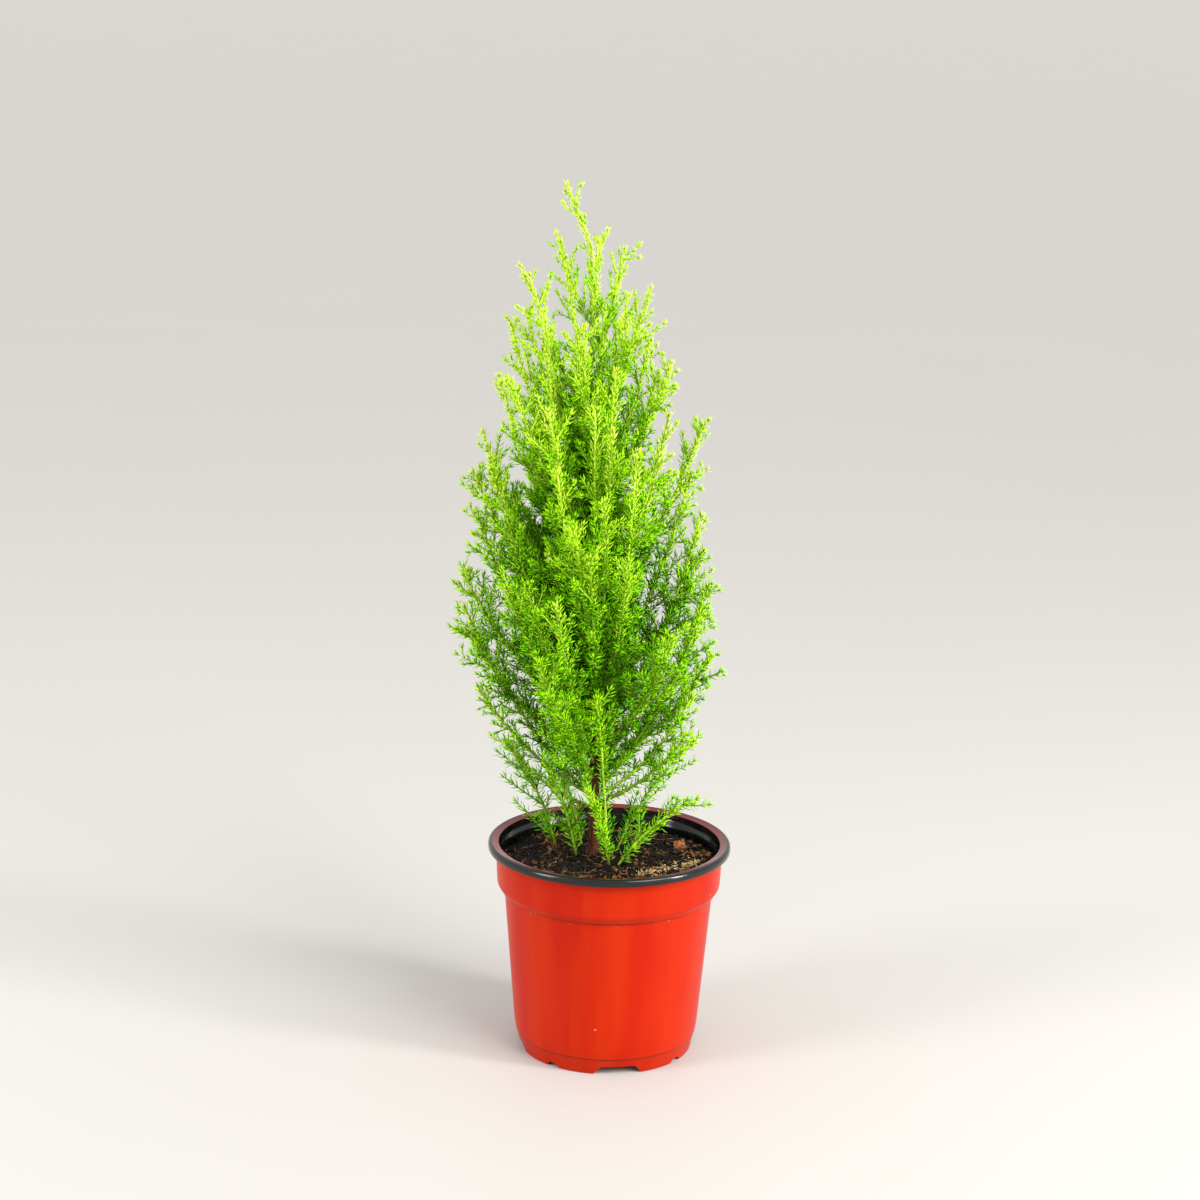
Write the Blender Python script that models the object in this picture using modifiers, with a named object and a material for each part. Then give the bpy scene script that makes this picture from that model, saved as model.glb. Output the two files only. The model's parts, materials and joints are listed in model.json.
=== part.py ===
# A young lemon cypress in its nursery pot, with a trunk, boughs and masses of needled twigs.
# Every length is in metres. Z is up, the pot stands on z = 0 and the plant's front faces -Y.

import math
import random

import bmesh
import bpy
import numpy as np
from mathutils import Matrix, Vector

# Clearance kept wherever two solids of the real plant touch.
GAP = 0.0003

# The pot is a thin moulded one. A rolled rim hangs over its collar, whose rounded lower edge stands out a little
# from the tapering body, and it stands on a notched foot.
POT_RIM_RADIUS = 0.065
POT_HEIGHT = 0.115
POT_WALL = 0.0008
POT_STEPS = 32
LIP_HEIGHT = 0.0040
LIP_ROUNDING = 0.0019
LIP_STEPS = 3
FLANGE_WIDTH = 0.0044
FLANGE_THICKNESS = 0.0018
COLLAR_TOP_RADIUS = 0.0606
COLLAR_TOP_Z = 0.109
COLLAR_BOTTOM_RADIUS = 0.0599
COLLAR_BOTTOM_Z = 0.0945
COLLAR_EDGE_RADIUS = 0.0577
COLLAR_EDGE_Z = 0.0890
CREASE_RADIUS = 0.0560
CREASE_Z = 0.0878
BODY_BOTTOM_RADIUS = 0.0498
BODY_BOTTOM_Z = 0.015
FOOT_TOP_RADIUS = 0.0486
FOOT_TOP_Z = 0.0088
FOOT_RADIUS = 0.0466
FOOT_RING_WIDTH = 0.0014
FLOOR_UNDERSIDE_Z = 0.005
FLOOR_PAD_RADIUS = 0.0165
FLOOR_PAD_DRAFT = 0.0015
FLOOR_PAD_TOP_Z = 0.0012

# Notches in the foot come by turns wide and narrow. The front one is a little to the right.
NOTCH_COUNT = 8
FRONT_NOTCH_ANGLE = math.radians(-81)
WIDE_NOTCH = {"bottom": 0.0278, "top": 0.0185, "height": 0.0046}
NARROW_NOTCH = {"bottom": 0.0088, "top": 0.005, "height": 0.0024}
NOTCH_DEPTH = 0.010
CUT_BELOW = 0.001

# Soil fills the pot to a little under its rim. It is level round the stems and slopes down to the back.
SOIL_LEVEL = 0.1065
SOIL_LEVEL_RADIUS = 0.036
SOIL_EDGE_RADIUS = 0.0588
SOIL_SLOPE = 0.055
SOIL_RISE = 0.0006
SOIL_EDGE_DROP = 0.0012
SOIL_LUMPS = 0.0006

# The trunk leans to the left, and its leader bends over further near the top.
TRUNK_FOOT_X = -0.0085
TRUNK_FOOT_Y = 0.004
TRUNK_TOP_Z = 0.436
TRUNK_LEAN = 0.0265
TRUNK_LEAN_FORWARD = 0.006
TRUNK_SWAY = 0.0012
SWAYS_PER_METRE = 26.0
LEADER_BEND = 0.37
LEADER_BEND_START_Z = 0.432
TRUNK_FOOT_RADIUS = 0.0031
TRUNK_TIP_RADIUS = 0.0005
TRUNK_TAPER = 1.4
TRUNK_RINGS = 15
TRUNK_RING_SPREAD = 1.35
TRUNK_SIDES = 7
FLARE = 0.0019
FLARE_HEIGHT = 0.006
FLARE_LOBES = 3
FLARE_LOBE_SHARE = 0.45

# The crown is a spindle round the trunk, widest low down.
CROWN_TOP_Z = 0.457
CROWN_WIDEST_Z = 0.225
CROWN_FOOT_Z = 0.130
CROWN_RADIUS = 0.065
CROWN_SHOULDER = 0.55
CROWN_FOOT_SHARE = 0.62
CROWN_FOOT_ROUNDING = 0.8

# Laterals climb from the trunk at the golden angle, and reach the crown's outline at these heights.
LATERAL_COUNT = 19
LATERAL_LOWEST_TIP = 0.168
LATERAL_HIGHEST_TIP = 0.374
LOWEST_FORK_Z = 0.1205
FIRST_LATERAL_ANGLE = math.radians(200)
GOLDEN_ANGLE = math.radians(137.5)
LATERAL_ANGLE_SPREAD = math.radians(9)
LATERAL_TRY_TURNS = tuple(math.radians(degrees) for degrees in (0, 9, -9, 18, -18, 27, -27, 36, -36))
LATERAL_CLEARANCE = 0.0012
REACH_SPREAD = 0.06
STEEPNESS_LOW = 0.75
STEEPNESS_HIGH = 2.3
CONTROL_OUT = 0.58
CONTROL_UP = 0.36
LATERAL_STEPS = 7
LATERAL_ROOT_RADIUS = 0.0013
LATERAL_TIP_RADIUS = 0.0004
THINNEST_ROOT_SHARE = 0.45
LEADER_STEPS = 3

# Laterals that stand apart in the outline: the angle round the trunk, the tip's height and its reach.
MARKED_LATERALS = {
    "left_a": (152, 0.431, 0.0176),
    "left_b": (199, 0.415, 0.0326),
    "left_c": (150, 0.394, 0.039),
    "left_d": (212, 0.364, 0.046),
    "left_out": (182, 0.312, 0.059),
    "left_mid": (176, 0.256, 0.066),
    "right_a": (-75, 0.434, 0.0179),
    "right_b": (45, 0.427, 0.0236),
    "right_c": (-28, 0.407, 0.032),
    "right_d": (60, 0.388, 0.038),
    "right_e": (-10, 0.372, 0.041),
    "right_out": (4, 0.338, 0.058),
    "right_mid": (-6, 0.217, 0.062),
    "front": (-95, 0.393, 0.036),
}

# Shoots that rise from the soil beside the trunk: the foot's x and y, then the tip's x, y and z.
LOW_SHOOTS = {
    "low_left": (-0.0289, 0.0114, -0.0555, -0.0040, 0.1700),
    "low_left_back": (-0.0150, 0.0141, -0.0400, 0.0420, 0.1720),
    "low_left_front": (-0.0177, -0.0028, -0.0340, -0.0180, 0.1620),
    "low_front": (0.0001, -0.0178, -0.0115, -0.0400, 0.1530),
    "low_right": (0.0052, -0.0177, 0.0435, -0.0220, 0.1450),
    "low_right_back": (0.0040, 0.0060, 0.0430, 0.0260, 0.1620),
    "low_centre": (-0.0010, -0.0070, -0.0080, -0.0480, 0.2050),
}

LOW_SHOOT_RADIUS = 0.0009
LOW_CONTROL_OUT = 0.35
LOW_CONTROL_UP = 0.6

# A bough is a lateral's bare root end. The lowest laterals have one, and the rest are needled throughout.
BOUGH_COUNT = 16
BOUGH_STEPS = 2
BOUGH_SIDES = 6

# Shoots stand round each stem by turns. They are longest a little way up it and shorten to its tip.
SHOOT_SPACING = 0.0099
FEWEST_SHOOTS = 3
MOST_SHOOTS = 8
FIRST_SHOOT = 0.6
FULL_STEM = 0.075
SHOOT_LONGEST = 0.034
SHOOT_SHORTEST = 0.011
SHOOT_LENGTH_SPREAD = 0.15
SHORTENING = 0.8
FIRST_FULLNESS = 0.55
FILLING = 2.5
SHOOT_TURN_SPREAD = 0.25
SHOOT_SPREAD_ANGLE = math.radians(42)
SHOOT_RISE = 0.2
SHOOT_TRIES = (1.0, 0.8, 0.6)
SHOOT_TRY_TURN = math.radians(35)
SHOOT_RADIUS = 0.0009
STEM_SIDES = 3
STEM_TIP = 0.0035

# Rings of a shoot: the share of its length, and of its radius there. Long ones have a ring more.
SHOOT_LONG = 0.016
LONG_SHOOT_RINGS = {0.0: 0.7, 0.15: 1.0, 0.42: 1.0, 0.7: 0.9, 1.0: 0.0}
SHORT_SHOOT_RINGS = {0.0: 0.7, 0.2: 1.0, 0.6: 0.9, 1.0: 0.0}

# Needles are larger than life, as each stands for a tuft. They start on the middle part of a shoot.
NEEDLED_FROM = 0.2
NEEDLED_TO = 0.8
NEEDLE_LENGTH = 0.008
NEEDLE_ANGLE = math.radians(36)

# What a twig keeps clear of: its neighbours' space, limbs, the rim and the soil.
PROBE_STEP = 0.0015
SPACE_MARGIN = 0.0002
LIMB_MARGIN = 0.0004
RIM_CLEARANCE = 0.001
SOIL_CLEARANCE = 0.0012
SOIL_CLEAR_RADIUS = 0.048

# Masses are coloured by the height of their tip.
LOW_GREEN_BELOW = 0.2
TOP_GREEN_ABOVE = 0.36
SEED = 41


def remove_everything():
    for old in list(bpy.data.objects):
        bpy.data.objects.remove(old, do_unlink=True)


def new_collection(name, hidden=False):
    collection = bpy.data.collections.new(name)
    bpy.context.scene.collection.children.link(collection)
    collection.hide_render = hidden
    return collection


def plain_material(name, colour, roughness):
    material = bpy.data.materials.new(name)
    material.use_nodes = True
    shader = material.node_tree.nodes["Principled BSDF"]
    shader.inputs["Base Color"].default_value = (*colour, 1.0)
    shader.inputs["Roughness"].default_value = roughness
    shader.inputs["Metallic"].default_value = 0.0
    return material


def new_object(name, mesh, collection, material=None):
    made = bpy.data.objects.new(name, mesh)
    collection.objects.link(made)
    if material:
        mesh.materials.clear()
        mesh.materials.append(material)
    return made


def finished_mesh(source):
    # The mesh that an object's modifiers give, as a mesh of its own.
    bpy.context.view_layer.update()
    graph = bpy.context.evaluated_depsgraph_get()
    return bpy.data.meshes.new_from_object(source.evaluated_get(graph))


def turned_object(name, profile, steps, collection, material):
    # Turns a profile of (radius, height) points about the pot's axis.
    mesh = bpy.data.meshes.new(name)
    shape = bmesh.new()
    corners = [shape.verts.new((radius, 0.0, height)) for radius, height in profile]
    for first, second in zip(corners, corners[1:]):
        shape.edges.new((first, second))
    if profile[0][0] > 0:
        shape.edges.new((corners[-1], corners[0]))
    shape.to_mesh(mesh)
    shape.free()
    turned = new_object(name, mesh, collection, material)
    screw = turned.modifiers.new("turned", "SCREW")
    screw.steps = steps
    screw.render_steps = steps
    screw.use_merge_vertices = True
    screw.merge_threshold = 0.00005
    screw.use_smooth_shade = False
    return turned


def limb_frames(points):
    # A frame at each point that looks along the limb and doesn't twist on the way.
    directions = [(after - before).normalized() for before, after in zip(points, points[1:])]
    directions.append(directions[-1])
    turn = directions[0].to_track_quat("Z", "Y")
    frames = []
    for index, point in enumerate(points):
        before = directions[max(index - 1, 0)]
        heading = (before + directions[index]).normalized()
        turn = (turn @ Vector((0, 0, 1))).rotation_difference(heading) @ turn
        frames.append(Matrix.Translation(point) @ turn.to_matrix().to_4x4())
    return frames


def limb_mesh(name, points, radii, sides, level_foot=False):
    # A polygon is extruded from point to point, and a last radius of nothing closes it in a tip.
    frames = limb_frames(points)
    if level_foot:
        frames[0] = Matrix.Translation(points[0])
    shape = bmesh.new()
    bmesh.ops.create_circle(
        shape, cap_ends=True, radius=radii[0], segments=sides, matrix=frames[0]
    )
    front = shape.faces[:]
    for index in range(1, len(points)):
        extruded = bmesh.ops.extrude_face_region(shape, geom=front)["geom"]
        if index > 1:
            bmesh.ops.delete(shape, geom=front, context="FACES_ONLY")
        front = [part for part in extruded if isinstance(part, bmesh.types.BMFace)]
        moved = [part for part in extruded if isinstance(part, bmesh.types.BMVert)]
        growth = max(radii[index], 1e-6) / radii[index - 1]
        step = frames[index] @ Matrix.Scale(growth, 4) @ frames[index - 1].inverted()
        bmesh.ops.transform(shape, matrix=step, verts=moved)
        if radii[index] == 0:
            bmesh.ops.pointmerge(shape, verts=moved, merge_co=points[index])
    bmesh.ops.recalc_face_normals(shape, faces=shape.faces[:])
    mesh = bpy.data.meshes.new(name)
    shape.to_mesh(mesh)
    shape.free()
    return mesh


def lip_rounding():
    # A quarter of a circle from the rim's top to its outer side.
    centre_radius = POT_RIM_RADIUS - LIP_ROUNDING
    centre_height = POT_HEIGHT - LIP_ROUNDING
    points = []
    for k in range(LIP_STEPS + 1):
        angle = math.pi / 2 * (1 - k / LIP_STEPS)
        radius = centre_radius + LIP_ROUNDING * math.cos(angle)
        points.append((radius, centre_height + LIP_ROUNDING * math.sin(angle)))
    return points


def pot_outer_profile():
    # The rim's lip hangs down from a flange, clear of the collar. The feet and the middle stand on the floor.
    inside_lip = POT_RIM_RADIUS - POT_WALL
    under_flange = POT_HEIGHT - FLANGE_THICKNESS
    inside_foot = FOOT_RADIUS - FOOT_RING_WIDTH
    return lip_rounding() + [
        (POT_RIM_RADIUS, POT_HEIGHT - LIP_HEIGHT),
        (inside_lip, POT_HEIGHT - LIP_HEIGHT),
        (inside_lip, under_flange),
        (POT_RIM_RADIUS - FLANGE_WIDTH, under_flange),
        (COLLAR_TOP_RADIUS, COLLAR_TOP_Z),
        (COLLAR_BOTTOM_RADIUS, COLLAR_BOTTOM_Z),
        (COLLAR_EDGE_RADIUS, COLLAR_EDGE_Z),
        (CREASE_RADIUS, CREASE_Z),
        (BODY_BOTTOM_RADIUS, BODY_BOTTOM_Z),
        (FOOT_TOP_RADIUS, FOOT_TOP_Z),
        (FOOT_RADIUS, 0.0),
        (inside_foot, 0.0),
        (inside_foot, FLOOR_UNDERSIDE_Z),
        (FLOOR_PAD_RADIUS + FLOOR_PAD_DRAFT, FLOOR_UNDERSIDE_Z),
        (FLOOR_PAD_RADIUS, 0.0),
        (0.0, 0.0),
    ]


def pot_inner_profile():
    # The inside, from the middle of the floor up to the flange.
    floor = FLOOR_UNDERSIDE_Z + POT_WALL
    return [
        (0.0, FLOOR_PAD_TOP_Z),
        (FLOOR_PAD_RADIUS - POT_WALL, FLOOR_PAD_TOP_Z),
        (FLOOR_PAD_RADIUS + POT_WALL, floor),
        (FOOT_RADIUS, floor),
        (BODY_BOTTOM_RADIUS - POT_WALL, BODY_BOTTOM_Z),
        (CREASE_RADIUS - POT_WALL, CREASE_Z),
        (COLLAR_BOTTOM_RADIUS - POT_WALL, COLLAR_BOTTOM_Z),
        (COLLAR_TOP_RADIUS - POT_WALL, COLLAR_TOP_Z),
        (POT_RIM_RADIUS - FLANGE_WIDTH, POT_HEIGHT - POT_WALL),
    ]


def notch_cutter(index, collection):
    sizes = WIDE_NOTCH if index % 2 == 0 else NARROW_NOTCH
    angle = FRONT_NOTCH_ANGLE + index * math.tau / NOTCH_COUNT
    mesh = bpy.data.meshes.new("notch_%d" % index)
    shape = bmesh.new()
    bmesh.ops.create_cube(shape, size=1.0)
    for corner in shape.verts:
        width = sizes["top"] if corner.co.z > 0 else sizes["bottom"]
        corner.co.x = FOOT_RADIUS + corner.co.x * NOTCH_DEPTH
        corner.co.y = math.copysign(width / 2, corner.co.y)
        corner.co.z = sizes["height"] if corner.co.z > 0 else -CUT_BELOW
    bmesh.ops.rotate(shape, verts=shape.verts, matrix=Matrix.Rotation(angle, 3, "Z"))
    shape.to_mesh(mesh)
    shape.free()
    cutter = new_object(mesh.name, mesh, collection)
    cutter.hide_render = True
    cutter.display_type = "WIRE"


def make_pot(collection, cutters, material):
    profile = pot_outer_profile() + pot_inner_profile()
    pot = turned_object("pot", profile, POT_STEPS, collection, material)
    for index in range(NOTCH_COUNT):
        notch_cutter(index, cutters)
    cut = pot.modifiers.new("notches", "BOOLEAN")
    cut.operation = "DIFFERENCE"
    cut.operand_type = "COLLECTION"
    cut.collection = cutters
    cut.solver = "EXACT"
    return pot


def wall_radius(height):
    # The radius of the pot's inside at a height above its floor.
    wall = pot_inner_profile()[3:]
    for (lower_radius, lower), (upper_radius, upper) in zip(wall, wall[1:]):
        if height <= upper:
            return lower_radius + (upper_radius - lower_radius) * (height - lower) / (upper - lower)
    return wall[-1][0]


def make_soil(collection, material):
    # The soil fills the pot from its floor up to the collar. Its top is level round the stems.
    side = [(radius - GAP, height + GAP) for radius, height in pot_inner_profile()[1:7]]
    middle = 0.5 * (SOIL_LEVEL_RADIUS + SOIL_EDGE_RADIUS)
    top = [
        (0.0, SOIL_LEVEL),
        (SOIL_LEVEL_RADIUS, SOIL_LEVEL),
        (middle, SOIL_LEVEL + SOIL_RISE),
        (SOIL_EDGE_RADIUS, SOIL_LEVEL - SOIL_EDGE_DROP),
    ]
    bottom = [(0.0, FLOOR_PAD_TOP_Z + GAP)]
    blank = turned_object("soil_blank", top + side[::-1] + bottom, POT_STEPS, collection, material)
    mesh = finished_mesh(blank)
    bpy.data.objects.remove(blank)
    lumps = random.Random(SEED)
    for corner in mesh.vertices:
        distance = math.hypot(corner.co.x, corner.co.y)
        if corner.co.z < COLLAR_BOTTOM_Z + 2 * GAP or distance < SOIL_LEVEL_RADIUS + GAP:
            continue
        share = (distance - SOIL_LEVEL_RADIUS) / (SOIL_EDGE_RADIUS - SOIL_LEVEL_RADIUS)
        corner.co.z += lumps.uniform(-SOIL_LUMPS, SOIL_LUMPS) - SOIL_SLOPE * corner.co.y * share
        if distance > SOIL_EDGE_RADIUS - GAP:
            fitted = (wall_radius(corner.co.z) - GAP) / distance
            corner.co.x *= fitted
            corner.co.y *= fitted
    return new_object("soil", mesh, collection, material)


def trunk_point(height):
    # The middle of the trunk at a height: it leans, sways a little and bends over at the top.
    climb = height - SOIL_LEVEL
    bend = max(height - LEADER_BEND_START_Z, 0.0)
    sway = TRUNK_SWAY * math.sin(climb * SWAYS_PER_METRE)
    x = TRUNK_FOOT_X - TRUNK_LEAN * climb - LEADER_BEND * bend + sway
    y = TRUNK_FOOT_Y - TRUNK_LEAN_FORWARD * climb + sway / 2
    return Vector((x, y, height))


def trunk_radius(height):
    share = (height - SOIL_LEVEL) / (TRUNK_TOP_Z - SOIL_LEVEL)
    body = TRUNK_FOOT_RADIUS - TRUNK_TIP_RADIUS
    return TRUNK_TIP_RADIUS + body * max(1.0 - share, 0.0) ** TRUNK_TAPER


def trunk_limb():
    # The trunk's rings, which stand closer together near its foot.
    foot = SOIL_LEVEL + GAP
    heights = []
    for k in range(TRUNK_RINGS + 1):
        heights.append(foot + (TRUNK_TOP_Z - foot) * (k / TRUNK_RINGS) ** TRUNK_RING_SPREAD)
    return [trunk_point(z) for z in heights], [trunk_radius(z) for z in heights]


def make_trunk(collection, material):
    points, radii = trunk_limb()
    mesh = limb_mesh("trunk", points, radii, TRUNK_SIDES, level_foot=True)
    for corner in mesh.vertices:
        climb = corner.co.z - SOIL_LEVEL
        axis = trunk_point(corner.co.z)
        out = Vector((corner.co.x - axis.x, corner.co.y - axis.y, 0.0))
        lobe = 1.0 + FLARE_LOBE_SHARE * math.sin(FLARE_LOBES * math.atan2(out.y, out.x))
        corner.co += out.normalized() * FLARE * lobe * math.exp(-climb / FLARE_HEIGHT)
    return new_object("trunk", mesh, collection, material)


def crown_radius(height):
    # How far the crown reaches from the trunk at a height.
    if height >= CROWN_WIDEST_Z:
        share = (height - CROWN_WIDEST_Z) / (CROWN_TOP_Z - CROWN_WIDEST_Z)
        return CROWN_RADIUS * max(1.0 - share, 0.0) ** CROWN_SHOULDER
    share = min((CROWN_WIDEST_Z - height) / (CROWN_WIDEST_Z - CROWN_FOOT_Z), 1.0)
    return CROWN_RADIUS * (1.0 - (1.0 - CROWN_FOOT_SHARE) * share**CROWN_FOOT_ROUNDING)


def steepness(tip_height):
    # How many times its reach a lateral climbs.
    share = (tip_height - LATERAL_LOWEST_TIP) / (CROWN_TOP_Z - LATERAL_LOWEST_TIP)
    return STEEPNESS_LOW + (STEEPNESS_HIGH - STEEPNESS_LOW) * share


def curve_points(foot, control, tip, steps):
    points = []
    for k in range(steps + 1):
        t = k / steps
        points.append(foot * (1 - t) ** 2 + control * 2 * t * (1 - t) + tip * t**2)
    return points


def limb_radii(root_radius, steps):
    return [root_radius + (LATERAL_TIP_RADIUS - root_radius) * (k / steps) for k in range(steps + 1)]


def stand_off(heading, away, radius):
    # How far from a surface a limb's round end has its middle, so that it keeps the gap.
    return GAP + radius * math.sin(heading.angle(away))


def lateral_limb(angle, tip_height, reach):
    # A lateral leaves the trunk outwards and bends up on the way to its tip.
    out = Vector((math.cos(angle), math.sin(angle), 0.0))
    foot_height = max(tip_height - reach * steepness(tip_height), LOWEST_FORK_Z)
    thickness = trunk_radius(foot_height) / TRUNK_FOOT_RADIUS
    root_radius = LATERAL_ROOT_RADIUS * (THINNEST_ROOT_SHARE + (1 - THINNEST_ROOT_SHARE) * thickness)
    heading = out * CONTROL_OUT * reach + Vector((0, 0, CONTROL_UP * (tip_height - foot_height)))
    away = trunk_radius(foot_height) + stand_off(heading, out, root_radius)
    foot = trunk_point(foot_height) + out * away
    tip = trunk_point(tip_height) + out * reach
    return curve_points(foot, foot + heading, tip, LATERAL_STEPS), limb_radii(root_radius, LATERAL_STEPS)


def low_shoot_limb(foot_x, foot_y, tip_x, tip_y, tip_z):
    # A low shoot rises from the soil and bends out.
    up = Vector((0, 0, 1))
    foot = Vector((foot_x, foot_y, SOIL_LEVEL))
    tip = Vector((tip_x, tip_y, tip_z))
    rise = tip - foot
    heading = Vector((LOW_CONTROL_OUT * rise.x, LOW_CONTROL_OUT * rise.y, LOW_CONTROL_UP * rise.z))
    foot += up * stand_off(heading, up, LOW_SHOOT_RADIUS)
    points = curve_points(foot, foot + heading, tip, LATERAL_STEPS)
    return points, limb_radii(LOW_SHOOT_RADIUS, LATERAL_STEPS)


def leader_limb():
    # The leader carries the trunk's line on to the crown's top.
    foot = trunk_point(TRUNK_TOP_Z)
    heading = (foot - trunk_point(LEADER_BEND_START_Z)).normalized()
    tip = foot + heading * (CROWN_TOP_Z - TRUNK_TOP_Z)
    points = [foot.lerp(tip, k / LEADER_STEPS) for k in range(LEADER_STEPS + 1)]
    points[0] += heading * GAP
    return points, limb_radii(TRUNK_TIP_RADIUS, LEADER_STEPS)


def all_limbs():
    # Every limb by name, from the lowest tip to the highest. Each lateral turns aside to clear the rest.
    picks = random.Random(SEED)
    limbs = {}
    for name, (angle, height, reach) in MARKED_LATERALS.items():
        limbs[name] = lateral_limb(math.radians(angle), height, reach)
    for name, places in LOW_SHOOTS.items():
        limbs[name] = low_shoot_limb(*places)
    limbs["leader"] = leader_limb()
    for k in range(LATERAL_COUNT):
        share = k / (LATERAL_COUNT - 1)
        height = LATERAL_LOWEST_TIP + (LATERAL_HIGHEST_TIP - LATERAL_LOWEST_TIP) * share
        angle = FIRST_LATERAL_ANGLE + k * GOLDEN_ANGLE
        angle += picks.uniform(-LATERAL_ANGLE_SPREAD, LATERAL_ANGLE_SPREAD)
        reach = crown_radius(height) * (1.0 + picks.uniform(-REACH_SPREAD, REACH_SPREAD))
        tries = [lateral_limb(angle + aside, height, reach) for aside in LATERAL_TRY_TURNS]
        limbs["crown_%02d" % (k + 1)] = Limbs(limbs.values()).first_clear(tries)
    return dict(sorted(limbs.items(), key=lambda item: item[1][0][-1].z))


def split_limb(points, radii):
    # Cuts a lateral into its bough and the stem of its mass, with the gap between them.
    cut = BOUGH_STEPS
    step = (points[cut + 1] - points[cut]).normalized() * GAP
    bough = (points[: cut + 1], radii[: cut + 1])
    stem = ([points[cut] + step] + points[cut + 1 :], radii[cut:])
    return bough, stem


def probe_points(first, last):
    # Spots a short step apart from one point to another.
    count = max(int((last - first).length / PROBE_STEP), 2)
    return [first.lerp(last, k / count) for k in range(count + 1)]


class Limbs:
    # The limbs as straight stretches, each with a radius and the number of the limb that it is part of.
    def __init__(self, limbs):
        starts, ends, radii, owners = [], [], [], []
        for owner, (points, widths) in enumerate(limbs):
            starts += points[:-1]
            ends += points[1:]
            radii += [max(pair) for pair in zip(widths, widths[1:])]
            owners += [owner] * (len(points) - 1)
        self.starts = np.array(starts)
        self.along = np.array(ends) - self.starts
        self.radii = np.array(radii)
        self.owners = np.array(owners)

    def distances(self, spot):
        # From a spot to the middle of each stretch.
        spot = np.array(spot)
        share = ((spot - self.starts) * self.along).sum(axis=1) / (self.along**2).sum(axis=1)
        nearest = self.starts + self.along * np.clip(share, 0, 1)[:, None]
        return np.linalg.norm(spot - nearest, axis=1)

    def clearance(self, limb):
        # The narrowest room between another limb and these.
        points, radii = limb
        room = []
        for first, last, radius in zip(points, points[1:], radii):
            for spot in probe_points(first, last):
                room.append((self.distances(spot) - self.radii).min() - radius)
        return min(room)

    def first_clear(self, tries):
        for limb in tries:
            if self.clearance(limb) > LATERAL_CLEARANCE:
                return limb
        return max(tries, key=self.clearance)


def clear_of_pot(spot, width):
    if spot.z > POT_HEIGHT + width + RIM_CLEARANCE:
        return True
    inside = math.hypot(spot.x, spot.y) < SOIL_CLEAR_RADIUS
    return inside and spot.z > SOIL_LEVEL + width + SOIL_CLEARANCE


class Space:
    # Tells whether a twig keeps to the room that is nearer to its own stem than to any other.
    def __init__(self, stems, limbs):
        self.names = list(stems)
        self.limbs = Limbs(list(stems.values()) + list(limbs))

    def holds(self, name, first, last, width):
        own = self.limbs.owners == self.names.index(name)
        others = ~own & (self.limbs.owners < len(self.names))
        for spot in probe_points(first, last):
            away = self.limbs.distances(spot)
            if (away[~own] - self.limbs.radii[~own]).min() < width + LIMB_MARGIN:
                return False
            if away[others].min() - away[own].min() < 2 * (width + SPACE_MARGIN):
                return False
            if not clear_of_pot(spot, width):
                return False
        return True


def round_the_stem(heading, turn, spread):
    # A direction that leans out from the heading by the spread, turned about it.
    side = heading.orthogonal().normalized()
    side = Matrix.Rotation(turn, 3, heading) @ side
    return (heading * math.cos(spread) + side * math.sin(spread)).normalized()


def point_along(points, distance):
    for first, second in zip(points, points[1:]):
        length = (second - first).length
        if distance <= length:
            return first.lerp(second, distance / length), (second - first).normalized()
        distance -= length
    return points[-1], (points[-1] - points[-2]).normalized()


def shoot_mesh(root, tip, owner, space):
    # A slim core on which each side's face is drawn out into a needle that points forward.
    reach = (tip - root).length
    heading = (tip - root) / reach
    rings = LONG_SHOOT_RINGS if reach > SHOOT_LONG else SHORT_SHOOT_RINGS
    points = [root.lerp(tip, share) for share in rings]
    mesh = limb_mesh("shoot", points, [SHOOT_RADIUS * width for width in rings.values()], STEM_SIDES)
    shape = bmesh.new()
    shape.from_mesh(mesh)
    for face in shape.faces[:]:
        middle = face.calc_center_median()
        share = (middle - root).dot(heading) / reach
        aim = face.normal * math.sin(NEEDLE_ANGLE) + heading * math.cos(NEEDLE_ANGLE)
        end = middle + aim * NEEDLE_LENGTH
        needled = NEEDLED_FROM < share < NEEDLED_TO
        if needled and all(space.holds(owner, corner.co, end, 0.0) for corner in face.verts):
            raised = bmesh.ops.poke(shape, faces=[face])["verts"]
            raised[0].co = end
    shape.to_mesh(mesh)
    shape.free()
    return mesh


def shoot_reach(share, longest):
    # The length of the shoot that stands at a share of its stem's length.
    fullness = (1 - share) ** SHORTENING * min(FIRST_FULLNESS + FILLING * share, 1.0)
    return SHOOT_SHORTEST + (longest - SHOOT_SHORTEST) * fullness


def grow_shoots(name, points, space, pieces):
    # Each shoot takes the first length and turn at which it keeps to its mass's space.
    picks = random.Random("%d %s" % (SEED, name))
    length = sum((after - before).length for before, after in zip(points, points[1:]))
    count = min(max(int(length / SHOOT_SPACING), FEWEST_SHOOTS), MOST_SHOOTS)
    longest = SHOOT_LONGEST * min(length / FULL_STEM, 1.0)
    turn = picks.uniform(0, math.tau)
    for k in range(count):
        share = (k + FIRST_SHOOT) / count
        root, heading = point_along(points, share * length)
        turn += GOLDEN_ANGLE + picks.uniform(-SHOOT_TURN_SPREAD, SHOOT_TURN_SPREAD)
        reach = shoot_reach(share, longest)
        reach *= picks.uniform(1 - SHOOT_LENGTH_SPREAD, 1 + SHOOT_LENGTH_SPREAD)
        for shorter in SHOOT_TRIES:
            out = round_the_stem(heading, turn, SHOOT_SPREAD_ANGLE)
            out = (out + Vector((0, 0, SHOOT_RISE))).normalized()
            tip = root + out * reach * shorter
            if space.holds(name, root + out * 2 * SHOOT_RADIUS, tip, SHOOT_RADIUS):
                new_object("shoot_%d" % k, shoot_mesh(root, tip, name, space), pieces)
                break
            turn += SHOOT_TRY_TURN


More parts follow.
